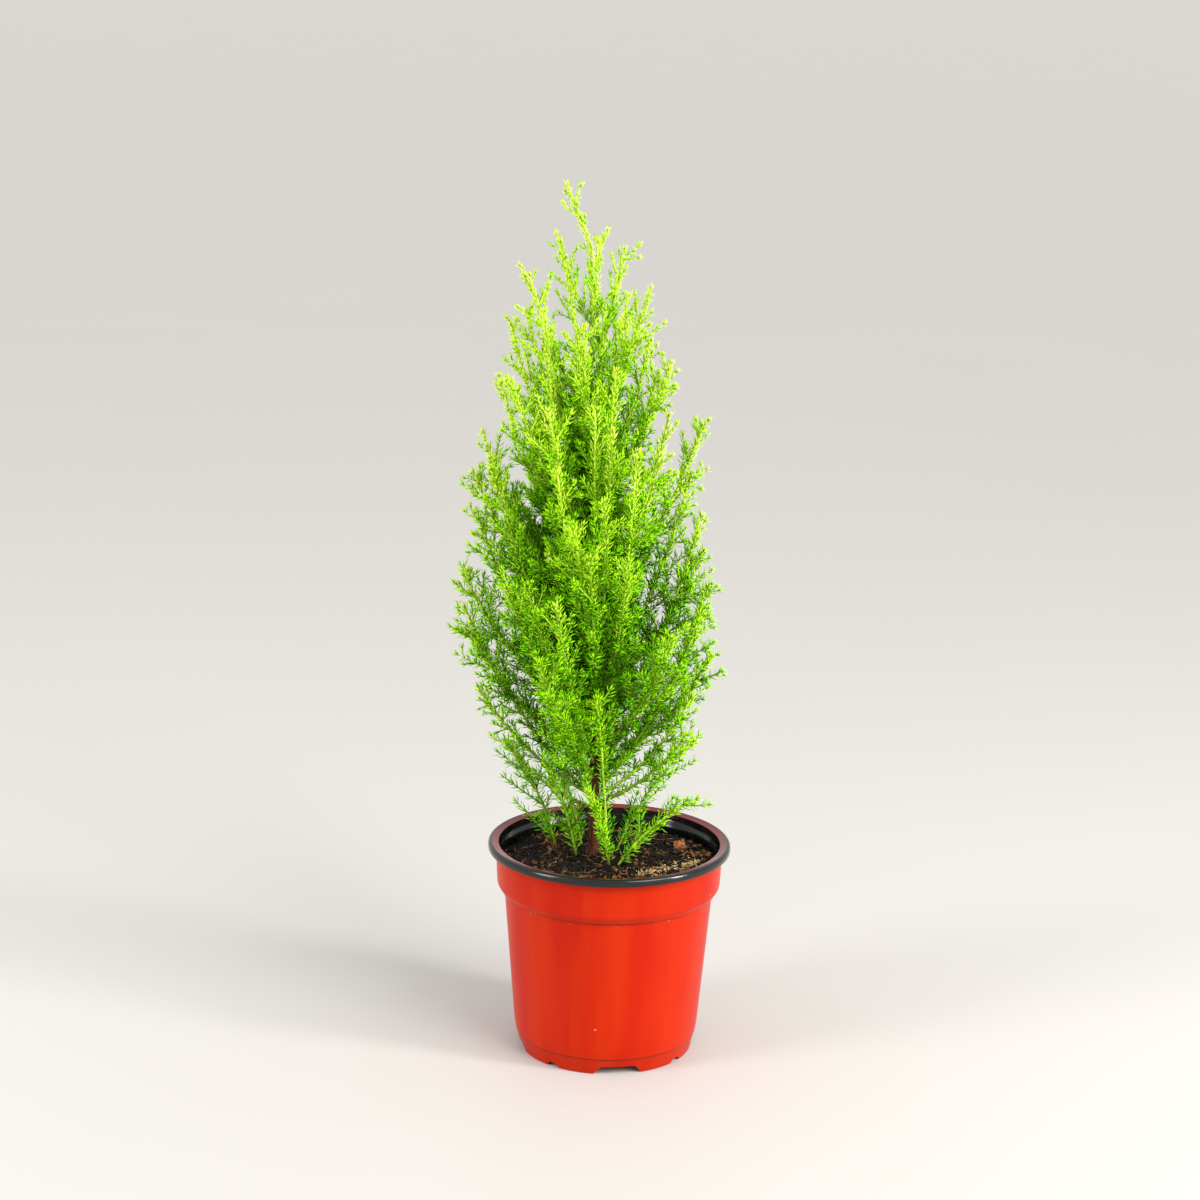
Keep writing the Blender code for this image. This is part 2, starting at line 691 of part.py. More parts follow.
def grow_mass(name, stem, space, collection, material):
    # Grows the shoots of one stem and fuses them to it as one solid.
    points, radii = stem
    pieces = bpy.data.collections.new(name + "_pieces")
    grow_shoots(name, points, space, pieces)
    heading = (points[-1] - points[-2]).normalized()
    stem_mesh = limb_mesh(name, points + [points[-1] + heading * STEM_TIP], radii + [0], STEM_SIDES)
    blank = new_object(name + "_stem", stem_mesh, collection)
    union = blank.modifiers.new("fused", "BOOLEAN")
    union.operation = "UNION"
    union.operand_type = "COLLECTION"
    union.collection = pieces
    union.solver = "EXACT"
    fused = finished_mesh(blank)
    fused.name = name
    bpy.data.objects.remove(blank)
    for piece in list(pieces.objects):
        bpy.data.objects.remove(piece)
    bpy.data.collections.remove(pieces)
    return new_object(name, fused, collection, material)


def main():
    remove_everything()
    plant = new_collection("potted_lemon_cypress")
    cutters = new_collection("cutters", hidden=True)
    pot_red = plain_material("pot_red", (0.72, 0.045, 0.005), 0.25)
    soil_brown = plain_material("soil_brown", (0.030, 0.018, 0.010), 0.95)
    bark_brown = plain_material("bark_brown", (0.16, 0.06, 0.03), 0.85)
    bough_brown = plain_material("bough_brown", (0.20, 0.12, 0.04), 0.8)
    low_green = plain_material("low_green", (0.13, 0.32, 0.01), 0.6)
    middle_green = plain_material("middle_green", (0.22, 0.46, 0.01), 0.6)
    top_green = plain_material("top_green", (0.38, 0.62, 0.02), 0.6)
    make_pot(plant, cutters, pot_red)
    make_soil(plant, soil_brown)
    make_trunk(plant, bark_brown)
    stems = {}
    boughs = []
    for name, limb in all_limbs().items():
        from_trunk = not name.startswith(("low", "leader"))
        if from_trunk and len(boughs) < BOUGH_COUNT:
            bough, limb = split_limb(*limb)
            boughs.append(bough)
            mesh = limb_mesh("bough_%02d" % len(boughs), *bough, BOUGH_SIDES)
            new_object(mesh.name, mesh, plant, bough_brown)
        stems["mass_" + name] = limb
    space = Space(stems, boughs + [trunk_limb()])
    for name, stem in stems.items():
        height = stem[0][-1].z
        green = middle_green
        if height < LOW_GREEN_BELOW:
            green = low_green
        elif height > TOP_GREEN_ABOVE:
            green = top_green
        grow_mass(name, stem, space, plant, green)


main()
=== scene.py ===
# A young lemon cypress in its nursery pot: its looks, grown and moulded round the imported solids.
# Lengths are in metres, Z is up, and the plant's front faces -Y.

import json
import math
import random

import bmesh
import bpy
import numpy as np
from mathutils import Matrix, Vector, noise

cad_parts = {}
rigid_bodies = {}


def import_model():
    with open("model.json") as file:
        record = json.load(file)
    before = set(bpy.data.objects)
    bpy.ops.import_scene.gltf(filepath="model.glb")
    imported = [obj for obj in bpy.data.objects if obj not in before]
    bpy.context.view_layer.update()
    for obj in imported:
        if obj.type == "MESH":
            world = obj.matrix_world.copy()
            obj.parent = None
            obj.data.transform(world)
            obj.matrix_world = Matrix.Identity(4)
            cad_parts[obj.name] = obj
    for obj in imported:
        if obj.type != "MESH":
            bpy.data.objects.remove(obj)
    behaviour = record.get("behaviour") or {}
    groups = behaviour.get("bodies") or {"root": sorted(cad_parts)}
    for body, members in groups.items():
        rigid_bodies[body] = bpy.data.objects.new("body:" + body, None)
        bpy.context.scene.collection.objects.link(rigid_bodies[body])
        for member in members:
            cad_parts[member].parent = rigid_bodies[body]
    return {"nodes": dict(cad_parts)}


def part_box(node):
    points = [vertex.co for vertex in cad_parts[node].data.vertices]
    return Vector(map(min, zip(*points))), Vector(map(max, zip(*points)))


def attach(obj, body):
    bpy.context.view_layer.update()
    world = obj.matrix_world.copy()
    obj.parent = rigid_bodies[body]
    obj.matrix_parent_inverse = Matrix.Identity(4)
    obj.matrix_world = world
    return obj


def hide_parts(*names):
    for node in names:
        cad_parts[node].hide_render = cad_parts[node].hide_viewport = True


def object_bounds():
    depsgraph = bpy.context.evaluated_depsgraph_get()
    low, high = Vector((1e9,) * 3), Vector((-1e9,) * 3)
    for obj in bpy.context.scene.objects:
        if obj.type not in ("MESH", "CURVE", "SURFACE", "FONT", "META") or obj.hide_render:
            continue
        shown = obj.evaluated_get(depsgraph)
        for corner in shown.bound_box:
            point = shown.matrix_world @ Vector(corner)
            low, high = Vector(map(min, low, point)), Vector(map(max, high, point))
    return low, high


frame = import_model()
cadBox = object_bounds()
nodeNames = sorted(frame["nodes"])
print("frame: %d solids" % len(nodeNames))


# Shader maths as sums: a Value wraps a socket, and each sum on it adds a Math node

class Value:
    def __init__(self, shades, socket):
        self.shades = shades
        self.socket = socket

    def maths(self, operation, *terms):
        return self.shades.node("ShaderNodeMath", {"operation": operation}, dict(enumerate(terms)))

    def __add__(self, other):
        return self.maths("ADD", self, other)

    __radd__ = __add__

    def __mul__(self, other):
        return self.maths("MULTIPLY", self, other)

    __rmul__ = __mul__

    def __sub__(self, other):
        return self.maths("SUBTRACT", self, other)

    def __rsub__(self, other):
        return self.maths("SUBTRACT", other, self)

    def __pow__(self, other):
        return self.maths("POWER", self, other)


class Shades:
    # One material with its Principled shader, and the few calls that add nodes to it
    def __init__(self, name, constants):
        self.material = bpy.data.materials.new(name)
        self.material.use_nodes = True
        self.tree = self.material.node_tree
        self.shader = self.tree.nodes["Principled BSDF"]
        for socket, value in constants.items():
            self.shader.inputs[socket].default_value = value
        self.place = self.node("ShaderNodeTexCoord", output="Object")

    def node(self, kind, settings=None, inputs=None, output=0):
        made = self.tree.nodes.new(kind)
        for key, value in (settings or {}).items():
            setattr(made, key, value)
        for key, value in (inputs or {}).items():
            if isinstance(value, Value):
                self.tree.links.new(value.socket, made.inputs[key])
            else:
                made.inputs[key].default_value = value
        return Value(self, made.outputs[output])

    def grain(self, scale, detail=2.0, roughness=0.5, stretch=(1, 1, 1), shift=(0, 0, 0)):
        # a noise pattern from 0 to 1, squeezed along an axis where stretch is over 1
        where = self.node("ShaderNodeMapping", {}, {"Vector": self.place, "Scale": stretch, "Location": shift})
        sizes = {"Vector": where, "Scale": scale, "Detail": detail, "Roughness": roughness}
        return self.node("ShaderNodeTexNoise", {}, sizes)

    def step(self, value, low, high):
        # rises smoothly from 0 at low to 1 at high
        sizes = {"Value": value, "From Min": low, "From Max": high}
        return self.node("ShaderNodeMapRange", {"interpolation_type": "SMOOTHSTEP"}, sizes)

    def blend(self, share, first, second):
        ends = [colour if isinstance(colour, Value) else (*colour, 1.0) for colour in (first, second)]
        sizes = {"Factor": share, 6: ends[0], 7: ends[1]}
        return self.node("ShaderNodeMix", {"data_type": "RGBA"}, sizes, output=2)

    def along(self, axis):
        return self.node("ShaderNodeSeparateXYZ", {}, {0: self.place}, output=axis)

    def height(self):
        return self.along("Z")

    def feed(self, **values):
        names = {"colour": "Base Color", "roughness": "Roughness", "coat": "Coat Weight", "normal": "Normal"}
        for key, value in values.items():
            self.tree.links.new(value.socket, self.shader.inputs[names[key]])

    def bump(self, value, distance, strength=1.0):
        sizes = {"Height": value, "Distance": distance, "Strength": strength}
        self.feed(normal=self.node("ShaderNodeBump", {}, sizes))


# Small mesh tools

def pieceFrom(shape, name, shades, smooth=True, sharpAngle=None):
    # closes a bmesh into an object that sits at the origin
    mesh = bpy.data.meshes.new(name)
    shape.to_mesh(mesh)
    shape.free()
    if smooth:
        mesh.shade_smooth()
    if sharpAngle is not None:
        mesh.set_sharp_from_angle(angle=sharpAngle)
    mesh.materials.append(shades.material)
    piece = bpy.data.objects.new(name, mesh)
    bpy.context.scene.collection.objects.link(piece)
    return piece


def dress(piece, nodes=()):
    # every piece rides with the pot, which is all one body
    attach(piece, "root")
    if nodes:
        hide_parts(*nodes)
    return piece


def turned(profile, steps, close=False):
    # turns (radius, height) points about the pot's axis
    shape = bmesh.new()
    corners = [shape.verts.new((radius, 0, height)) for radius, height in profile]
    edges = [shape.edges.new(pair) for pair in zip(corners, corners[1:])]
    if close:
        edges.append(shape.edges.new((corners[-1], corners[0])))
    bmesh.ops.spin(
        shape, geom=corners + edges, cent=(0, 0, 0), axis=(0, 0, 1), angle=math.tau, steps=steps, use_merge=True
    )
    bmesh.ops.remove_doubles(shape, verts=shape.verts[:], dist=0.00001)
    bmesh.ops.recalc_face_normals(shape, faces=shape.faces[:])
    return shape


def template(shape):
    # reads a small closed shape into arrays, to be stamped out many times
    shape.verts.ensure_lookup_table()
    shape.verts.index_update()
    places = np.array([corner.co[:] for corner in shape.verts])
    sizes = np.array([len(face.verts) for face in shape.faces])
    corners = np.array([corner.index for face in shape.faces for corner in face.verts])
    shape.free()
    return {"places": places, "sizes": sizes, "corners": corners}


def stamped(name, model, placed, shades, smooth=True):
    # joins copies of a template, whose corners are already put in place, into one piece
    copies, count = placed.shape[:2]
    corners = (model["corners"][None, :] + count * np.arange(copies)[:, None]).ravel()
    sizes = np.tile(model["sizes"], copies)
    mesh = bpy.data.meshes.new(name)
    mesh.vertices.add(copies * count)
    mesh.vertices.foreach_set("co", placed.astype(np.float32).ravel())
    mesh.loops.add(len(corners))
    mesh.loops.foreach_set("vertex_index", corners.astype(np.int32))
    mesh.polygons.add(len(sizes))
    mesh.polygons.foreach_set("loop_start", (np.cumsum(sizes) - sizes).astype(np.int32))
    mesh.update(calc_edges=True)
    if smooth:
        mesh.shade_smooth()
    mesh.materials.append(shades.material)
    piece = bpy.data.objects.new(name, mesh)
    bpy.context.scene.collection.objects.link(piece)
    return piece


def unit(vectors):
    return vectors / np.maximum(np.linalg.norm(vectors, axis=-1, keepdims=True), 1e-12)


# The pot's sizes, which also place the soil and the plant

potLow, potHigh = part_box("pot")
gap = 0.0003
pot = {
    "rimRadius": potHigh.x,
    "height": potHigh.z,
    "wall": 0.0008,
    "lipHeight": 0.0040,
    "lipRounding": 0.0017,
    "flangeThickness": 0.0018,
    "ridge": 0.1073,
    "ridgeStep": 0.0002,
    "collarTop": (0.0606, 0.1060),
    "collarBottom": (0.0599, 0.0918),
    "collarEdge": (0.0578, 0.0889),
    "collarRounding": 0.0024,
    "crease": (0.0560, 0.0878),
    "bodyBottom": (0.0498, 0.0150),
    "footLine": (0.0486, 0.0088),
    "footStep": 0.0003,
    "footRadius": 0.0466,
    "footRingWidth": 0.0014,
    "floorUnderside": 0.005,
    "padRadius": 0.0165,
    "steps": 144,
}


def arc(centre, radius, fromAngle, toAngle, steps):
    turns = [math.radians(fromAngle + (toAngle - fromAngle) * k / steps) for k in range(steps + 1)]
    return [(centre[0] + radius * math.cos(a), centre[1] + radius * math.sin(a)) for a in turns]


def eased(points, radius, steps=4):
    # rounds each inner corner of an outline with a short curve
    rounded = [points[0]]
    for before, corner, after in zip(points, points[1:], points[2:]):
        here = Vector(corner)
        back = Vector(before) - here
        on = Vector(after) - here
        reach = min(radius, 0.45 * back.length, 0.45 * on.length)
        first = here + back.normalized() * reach
        last = here + on.normalized() * reach
        for k in range(steps + 1):
            t = k / steps
            rounded.append(tuple(first * (1 - t) ** 2 + here * 2 * t * (1 - t) + last * t**2))
    rounded.append(points[-1])
    return rounded


def redPlastic():
    # the light and dark reds are painted highlight and painted shade laid over the middle red
    look = {
        "dark": (0.35, 0.0060, 0.0002),
        "middle": (0.385, 0.0095, 0.0003),
        "light": (0.46, 0.025, 0.0008),
        "scuff": (0.90, 0.52, 0.40),
        "grimeAndShade": (0.15, 0.012, 0.003),
        "footHeight": 0.0088,
        "rubbedFrom": 0.0835,
    }
    shades = Shades("redPlastic", {"IOR": 1.5, "Specular IOR Level": 0.10})
    # painted highlight and shade: lighter vertical streaks stand in for soft reflections on the wall and darker
    # patches for its shaded parts; the streaks also ripple the surface as a bump
    highlightStreaks = shades.grain(70, detail=3, stretch=(1, 1, 0.05))
    mottle = shades.grain(60, detail=3, roughness=0.5)
    shadePatches = shades.grain(26, detail=2, stretch=(1, 1, 0.45), shift=(3, 1, 2))
    base = shades.blend(0.6 * shades.step(highlightStreaks, 0.3, 0.7), look["middle"], look["light"])
    base = shades.blend(0.4 * shades.step(shadePatches, 0.4, 0.8), base, look["dark"])
    height = shades.height()
    scuffs = shades.step(shades.grain(210, detail=4, roughness=0.7, shift=(5, 0, 7)), 0.735, 0.76)
    rubbed = shades.step(shades.grain(95, detail=5, roughness=0.65, stretch=(1, 1, 4), shift=(2, 0, 4)), 0.60, 0.66)
    underEdge = shades.step(height, look["rubbedFrom"], pot["crease"][1])
    underEdge = underEdge * (1 - shades.step(height, pot["crease"][1], pot["crease"][1] + 0.0006))
    scuffs = scuffs + 0.55 * rubbed * underEdge
    base = shades.blend(0.8 * scuffs, base, look["scuff"])
    # the foot band is drawn a little darker towards the bottom
    foot = 1 - shades.step(height, look["footHeight"] - 0.0008, look["footHeight"])
    base = shades.blend(0.12 * foot, base, look["grimeAndShade"])
    # painted shade: a thin dark line in the crease under the collar and in the groove at the foot line
    for line in (pot["crease"][1], pot["footLine"][1]):
        creaseShade = shades.step(height, line - 0.0007, line) * (1 - shades.step(height, line + 0.0003, line + 0.0008))
        base = shades.blend(0.8 * creaseShade, base, look["grimeAndShade"])
    shades.feed(colour=base, roughness=0.30 + 0.08 * mottle + 0.25 * scuffs)
    shades.bump(highlightStreaks + 0.5 * mottle, 0.0003, 0.25)
    return shades


def blackPlastic():
    # black, but for the flange inside the lip, where a maroon reflection of red surroundings is painted on
    look = {"black": (0.004, 0.005, 0.0045), "dusty": (0.012, 0.011, 0.010), "maroonReflection": (0.140, 0.004, 0.002)}
    shades = Shades("blackPlastic", {"IOR": 1.5, "Specular IOR Level": 0.42})
    dust = shades.step(shades.grain(240, detail=6, roughness=0.7), 0.5, 0.78)
    ripple = shades.grain(60, detail=2, stretch=(1, 1, 2.5))
    away = (shades.along("X") ** 2 + shades.along("Y") ** 2) ** 0.5
    # painted reflection: the ring of the flange is painted maroon
    flange = shades.step(away, 0.0592, 0.0598) * (1 - shades.step(away, 0.0626, 0.0634))
    flange = flange * shades.step(shades.height(), pot["height"] - 0.0018, pot["height"] - 0.0012)
    base = shades.blend(0.4 * dust, look["black"], look["dusty"])
    base = shades.blend(flange, base, look["maroonReflection"])
    shades.feed(colour=base, roughness=0.14 + 0.25 * dust)
    shades.bump(ripple + 0.1 * dust, 0.0003, 0.3)
    return shades


def notchCutter(index):
    # one of the eight cuts in the foot, which come by turns wide and narrow
    wide = {"bottom": 0.0278, "top": 0.0185, "height": 0.0046}
    narrow = {"bottom": 0.0088, "top": 0.005, "height": 0.0024}
    sizes = wide if index % 2 == 0 else narrow
    angle = math.radians(-81 + 45 * index)
    shape = bmesh.new()
    bmesh.ops.create_cube(shape, size=1.0)
    for corner in shape.verts:
        top = corner.co.z > 0
        corner.co.x = pot["footRadius"] + corner.co.x * 0.010
        corner.co.y = math.copysign(sizes["top" if top else "bottom"] / 2, corner.co.y)
        corner.co.z = sizes["height"] if top else -0.001
    upright = [edge for edge in shape.edges if all(corner.co.z > 0 for corner in edge.verts)]
    upright = [edge for edge in upright if abs(edge.verts[0].co.y - edge.verts[1].co.y) < 0.001]
    bmesh.ops.bevel(
        shape, geom=upright, offset=0.0012, affect="EDGES", segments=3, profile=0.5, material=-1
    )
    bmesh.ops.rotate(shape, verts=shape.verts, matrix=Matrix.Rotation(angle, 3, "Z"))
    return shape


def makeRedPot():
    # the coloured outer pot, whose rim is tucked up under the black lip
    wall = pot["wall"]
    tuckedUnder = pot["height"] - pot["flangeThickness"] - gap
    insideFoot = pot["footRadius"] - pot["footRingWidth"]
    side = pot["collarTop"][0]
    step = pot["ridgeStep"]
    edge = pot["collarEdge"]
    upper = [
        (side - wall, tuckedUnder),
        (side + 2 * step, tuckedUnder),
        (side + 2 * step, pot["ridge"] + step),
        (side + 0.2 * step, pot["ridge"] - step),
        *eased([pot["collarTop"], pot["collarBottom"], edge], pot["collarRounding"], 7),
        (edge[0] - 0.0002, edge[1] - 0.0005),
    ]
    lower = [
        pot["crease"],
        pot["bodyBottom"],
        (pot["footLine"][0] + pot["footStep"], pot["footLine"][1] + pot["footStep"]),
        (pot["footLine"][0] - pot["footStep"], pot["footLine"][1] - pot["footStep"]),
        (pot["footRadius"], 0.0),
        (insideFoot, 0.0),
        (insideFoot, pot["floorUnderside"]),
        (pot["padRadius"] + 0.0015, pot["floorUnderside"]),
        (pot["padRadius"], 0.0),
        (0.0, 0.0),
    ]
    inside = [
        (0.0, wall),
        (pot["padRadius"] - wall, wall),
        (pot["padRadius"] + wall, pot["floorUnderside"] + wall),
        (pot["footRadius"] - wall, pot["floorUnderside"] + wall),
        (pot["bodyBottom"][0] - wall, pot["bodyBottom"][1]),
        (pot["crease"][0] - wall, pot["crease"][1]),
        (pot["collarBottom"][0] - wall, pot["collarBottom"][1]),
        (pot["collarTop"][0] - wall, tuckedUnder),
    ]
    shape = turned(upper + eased(lower, 0.0005) + inside[:-1], pot["steps"], close=True)
    piece = pieceFrom(shape, "redPot", redPlastic())
    for index in range(8):
        cutter = pieceFrom(notchCutter(index), "notch%d" % index, blackLook, smooth=False)
        cut = piece.modifiers.new("notch", "BOOLEAN")
        cut.operation = "DIFFERENCE"
        cut.solver = "EXACT"
        cut.object = cutter
    graph = bpy.context.evaluated_depsgraph_get()
    cutMesh = bpy.data.meshes.new_from_object(piece.evaluated_get(graph))
    piece.modifiers.clear()
    piece.data = cutMesh
    for cutter in [o for o in bpy.context.scene.objects if o.name.startswith("notch")]:
        bpy.data.objects.remove(cutter)
    piece.data.shade_smooth()
    piece.data.set_sharp_from_angle(angle=math.radians(38))
    while len(piece.data.materials) > 1:
        piece.data.materials.pop()
    return dress(piece, ["pot"])


def makeBlackLiner():
    # the thin inner pot: a rolled lip that hangs over the red rim, a flange and the wall down into the soil
    rim = pot["rimRadius"]
    top = pot["height"]
    wall = pot["wall"]
    rounding = pot["lipRounding"]
    lipFoot = top - pot["lipHeight"]
    innerEdge = pot["collarTop"][0] - wall - gap
    outline = arc((rim - rounding, top - rounding), rounding, 95, 0, 8)
    outline += [(rim, lipFoot + 0.0004)] + arc((rim - 0.0004, lipFoot + 0.0003), 0.0003, 0, -180, 4)
    outline += [(rim - wall, top - pot["flangeThickness"]), (innerEdge, top - pot["flangeThickness"])]
    ledges = [
        (pot["collarBottom"][0] - wall - gap, 0.095),
        (pot["collarBottom"][0] - 2 * wall, 0.095),
        (innerEdge - wall - 0.0003, top - 0.0095),
        (innerEdge - wall - 0.0001, top - 0.0062),
        (innerEdge - wall + 0.0004, top - 0.0057),
        (innerEdge - wall + 0.0004, top - 0.0034),
        (innerEdge - 0.0002, top - 0.0026),
        (innerEdge, top - 0.0009),
        (innerEdge + 0.0012, top - 0.0005),
        (rim - rounding - 0.0006, top - 0.0003),
    ]
    shape = turned(outline + ledges, pot["steps"], close=True)
    piece = pieceFrom(shape, "blackLiner", blackLook, sharpAngle=math.radians(60))
    return dress(piece, ["pot"])


blackLook = blackPlastic()
makeRedPot()
makeBlackLiner()
print("pot: done")


# Soil: a crumbly top that fills the pot, with crumbs, fibres, chips and clippings on it

soil = {
    "level": 0.1065,
    "levelRadius": 0.036,
    "edgeRadius": 0.0580,
    "slope": 0.055,
    "rise": 0.0006,
    "edgeDrop": 0.0012,
    "bottom": 0.094,
    "lumps": 0.0015,
    "rings": 58,
    "spokes": 200,
    "crumbs": 2300,
    "brownCrumbs": 700,
    "fibres": 330,
    "specks": 110,
    "clippings": 200,
    "seed": 7,
}


def soilHeight(x, y):
    # the top of the solid soil, with soft lumps that stay a little under it
    away = math.hypot(x, y)
    share = max(away - soil["levelRadius"], 0) / (soil["edgeRadius"] - soil["levelRadius"])
    side = math.sin(math.pi * min(share, 1)) * soil["rise"] - share * soil["edgeDrop"]
    wide = noise.fractal(Vector((x, y, 0)) * 130, 0.8, 2.1, 4)
    fine = noise.fractal(Vector((x, y, 0.3)) * 420, 0.7, 2.0, 4)
    lumps = soil["lumps"] * (0.9 * wide + 0.55 * fine)
    return soil["level"] + side - soil["slope"] * y * min(share, 1) + min(lumps, 0.0012) - 0.0007


def compostLook():
    shades = Shades("compost", {"Specular IOR Level": 0.25})
    clods = shades.grain(320, detail=6, roughness=0.7)
    grit = shades.grain(1400, detail=3)
    base = shades.blend(shades.step(clods, 0.50, 0.72), (0.0012, 0.0006, 0.0004), (0.014, 0.0050, 0.0014))
    base = shades.blend(0.7 * shades.step(grit, 0.66, 0.74), base, (0.18, 0.075, 0.020))
    shades.feed(colour=base, roughness=0.75 + 0.2 * clods)
    shades.bump(clods + 0.4 * grit, 0.0008, 0.9)
    return shades


def makeCompost(shades):
    rings = soil["rings"]
    profile = [(0.0, soil["bottom"]), (pot["collarBottom"][0] - 2 * pot["wall"] - gap, soil["bottom"])]
    profile += [(soil["edgeRadius"] * (1 - k / rings), soil["level"]) for k in range(rings + 1)]
    shape = turned(profile[::-1], soil["spokes"])
    for corner in shape.verts:
        if corner.co.z > soil["level"] - gap:
            corner.co.z = soilHeight(corner.co.x, corner.co.y)
    piece = pieceFrom(shape, "compostTop", shades)
    return dress(piece, ["soil"])


def soilSpot(picks, spread=0.0572):
    # a random place on the soil, clear of the pot's wall
    away = spread * math.sqrt(picks.random())
    turn = picks.uniform(0, math.tau)
    return away * math.cos(turn), away * math.sin(turn)


def crumbTemplate():
    shape = bmesh.new()
    bmesh.ops.create_icosphere(shape, subdivisions=1, radius=1.0)
    return template(shape)


def clumpSpot(picks):
    # a spot on the soil where the brown bits gather
    for _ in range(8):
        x, y = soilSpot(picks)
        if noise.noise(Vector((x, y, 0.02)) * 75) > picks.uniform(-0.20, 0.40):
            break
    return x, y


def makeCrumbs(name, count, sizes, look, seedNumber, stretch=1.6, spots=None):
    # small lumps scattered over the soil, each squashed and turned its own way
    picks = random.Random(seedNumber)
    model = crumbTemplate()
    placed = []
    for _ in range(count):
        x, y = spots(picks) if spots else soilSpot(picks)
        size = picks.uniform(*sizes) * picks.uniform(0.6, 1.0)
        roughened = np.array([[picks.uniform(0.72, 1.2)] for _ in model["places"]])
        turn = Matrix.Rotation(picks.uniform(0, math.tau), 3, Vector([picks.gauss(0, 1) for _ in range(3)]))
        squash = np.array([picks.uniform(0.8, stretch), 1.0, picks.uniform(0.5, 0.9)])
        spun = (model["places"] * roughened * squash * size) @ np.array(turn.transposed())
        placed.append(spun + np.array([x, y, soilHeight(x, y) + 0.25 * size]))
    return dress(stamped(name, model, np.array(placed), look, smooth=False))


def crumbLook(name, dark, light):
    shades = Shades(name, {"Specular IOR Level": 0.2})
    flecks = shades.grain(700, detail=3)
    shades.feed(colour=shades.blend(shades.step(flecks, 0.35, 0.65), dark, light), roughness=0.7 + 0.25 * flecks)
    shades.bump(flecks, 0.0002, 0.6)
    return shades


def bentTemplate(sides, rings):
    # a straight tube of length and radius one, ringed so that it can be bent along a curve
    shape = bmesh.new()
    bmesh.ops.create_cone(shape, cap_ends=True, segments=sides, radius1=1, radius2=1, depth=1)
    bmesh.ops.translate(shape, verts=shape.verts, vec=(0, 0, 0.5))
    for k in range(1, rings):
        everything = shape.verts[:] + shape.edges[:] + shape.faces[:]
        bmesh.ops.bisect_plane(shape, geom=everything, plane_co=(0, 0, k / rings), plane_no=(0, 0, 1))
    return template(shape)


def bentPlaces(model, feet, controls, tips, footRadii, tipRadii):
    # bends the tube template along each curve from foot to tip, and tapers it on the way
    across, share = model["places"][:, :2], model["places"][:, 2]
    t = share[None, :, None]
    middle = feet[:, None] * (1 - t) ** 2 + controls[:, None] * 2 * t * (1 - t) + tips[:, None] * t**2
    heading = unit((controls - feet)[:, None] * (1 - t) + (tips - controls)[:, None] * t)
    chord = unit(tips - feet)
    aside = unit(np.cross(chord, np.where(np.abs(chord[:, 2:]) > 0.8, [[1.0, 0, 0]], [[0, 0, 1.0]])))
    side = unit(aside[:, None] - (aside[:, None] * heading).sum(axis=2, keepdims=True) * heading)
    up = np.cross(heading, side)
    radii = (footRadii[:, None] + (tipRadii - footRadii)[:, None] * share[None, :])[:, :, None]
    return middle + radii * (side * across[None, :, :1] + up * across[None, :, 1:])


def makeFibres(name, count, lengths, radii, look, seedNumber, spots=None, flatness=0.25):
    # thin bent threads or clippings that lie on the soil
    picks = random.Random(seedNumber)
    rows = []
    for k in range(count):
        x, y = spots(picks) if spots else soilSpot(picks, 0.052)
        length = picks.uniform(*lengths)
        turn = picks.uniform(0, math.tau)
        along = Vector((math.cos(turn), math.sin(turn), picks.uniform(-0.1, flatness)))
        aside = Vector((-along.y, along.x, 0)) * picks.uniform(-0.35, 0.35)
        foot = Vector((x, y, 0)) - along * length / 2
        tip = foot + along * length
        middle = (foot + tip) / 2 + aside * length
        lift = picks.uniform(0.0002, 0.0012)
        for spot in (foot, tip, middle):
            if math.hypot(spot.x, spot.y) > 0.0565:
                spot *= 0.0565 / math.hypot(spot.x, spot.y)
            spot.z = soilHeight(spot.x, spot.y) + max(spot.z, 0) + lift
        radius = picks.uniform(*radii)
        rows.append((foot, middle + (middle - (foot + tip) / 2), tip, radius, radius * 0.7))
    feet, controls, tips = (np.array([row[k][:] for row in rows]) for k in range(3))
    footRadii, tipRadii = (np.array([row[k] for row in rows]) for k in (3, 4))
    model = bentTemplate(4, 4)
    return dress(stamped(name, model, bentPlaces(model, feet, controls, tips, footRadii, tipRadii), look))


def clippingSpot(picks):
    # the drift of straw clippings, which runs along the front right of the pot
    line = [Vector((0.012, -0.029)), Vector((0.031, -0.024)), Vector((0.047, -0.010))]
    t = picks.random() ** 0.7
    spot = line[0] * (1 - t) ** 2 + line[1] * 2 * t * (1 - t) + line[2] * t**2
    return spot.x + picks.gauss(0, 0.0028), spot.y + picks.gauss(0, 0.0034)


def makeBarkChip(look):
    # a curled chip of bark that lies hollow side up at the right
    chip = {"x": 0.0385, "y": 0.0125, "length": 0.0072, "width": 0.0062, "thickness": 0.0007, "curl": 0.0050}
    shape = bmesh.new()
    bmesh.ops.create_grid(shape, x_segments=14, y_segments=10, size=0.5)
    for corner in shape.verts:
        x, y = corner.co.x, corner.co.y
        ragged = 1.15 + 0.25 * noise.noise(Vector((x * 3, y * 3, 1)))
        corner.co.x = x * (1 - 2 * y * y) ** 0.5 * chip["length"] * ragged
        corner.co.y = y * (1 - 2 * x * x) ** 0.5 * chip["width"] * ragged
        rough = 0.0004 * noise.fractal(Vector((x, y, 5)) * 6, 0.8, 2, 3)
        corner.co.z = chip["curl"] * (3 * y * y + 0.8 * x * x) + rough
    bmesh.ops.solidify(shape, geom=shape.faces[:], thickness=chip["thickness"])
    place = Matrix.Translation((chip["x"], chip["y"], soilHeight(chip["x"], chip["y"]) + 0.0014))
    turn = Matrix.Rotation(math.radians(35), 4, "Z") @ Matrix.Rotation(math.radians(14), 4, "X")
    bmesh.ops.transform(shape, matrix=place @ turn, verts=shape.verts)
    bmesh.ops.recalc_face_normals(shape, faces=shape.faces[:])
    return dress(pieceFrom(shape, "barkChip", look))


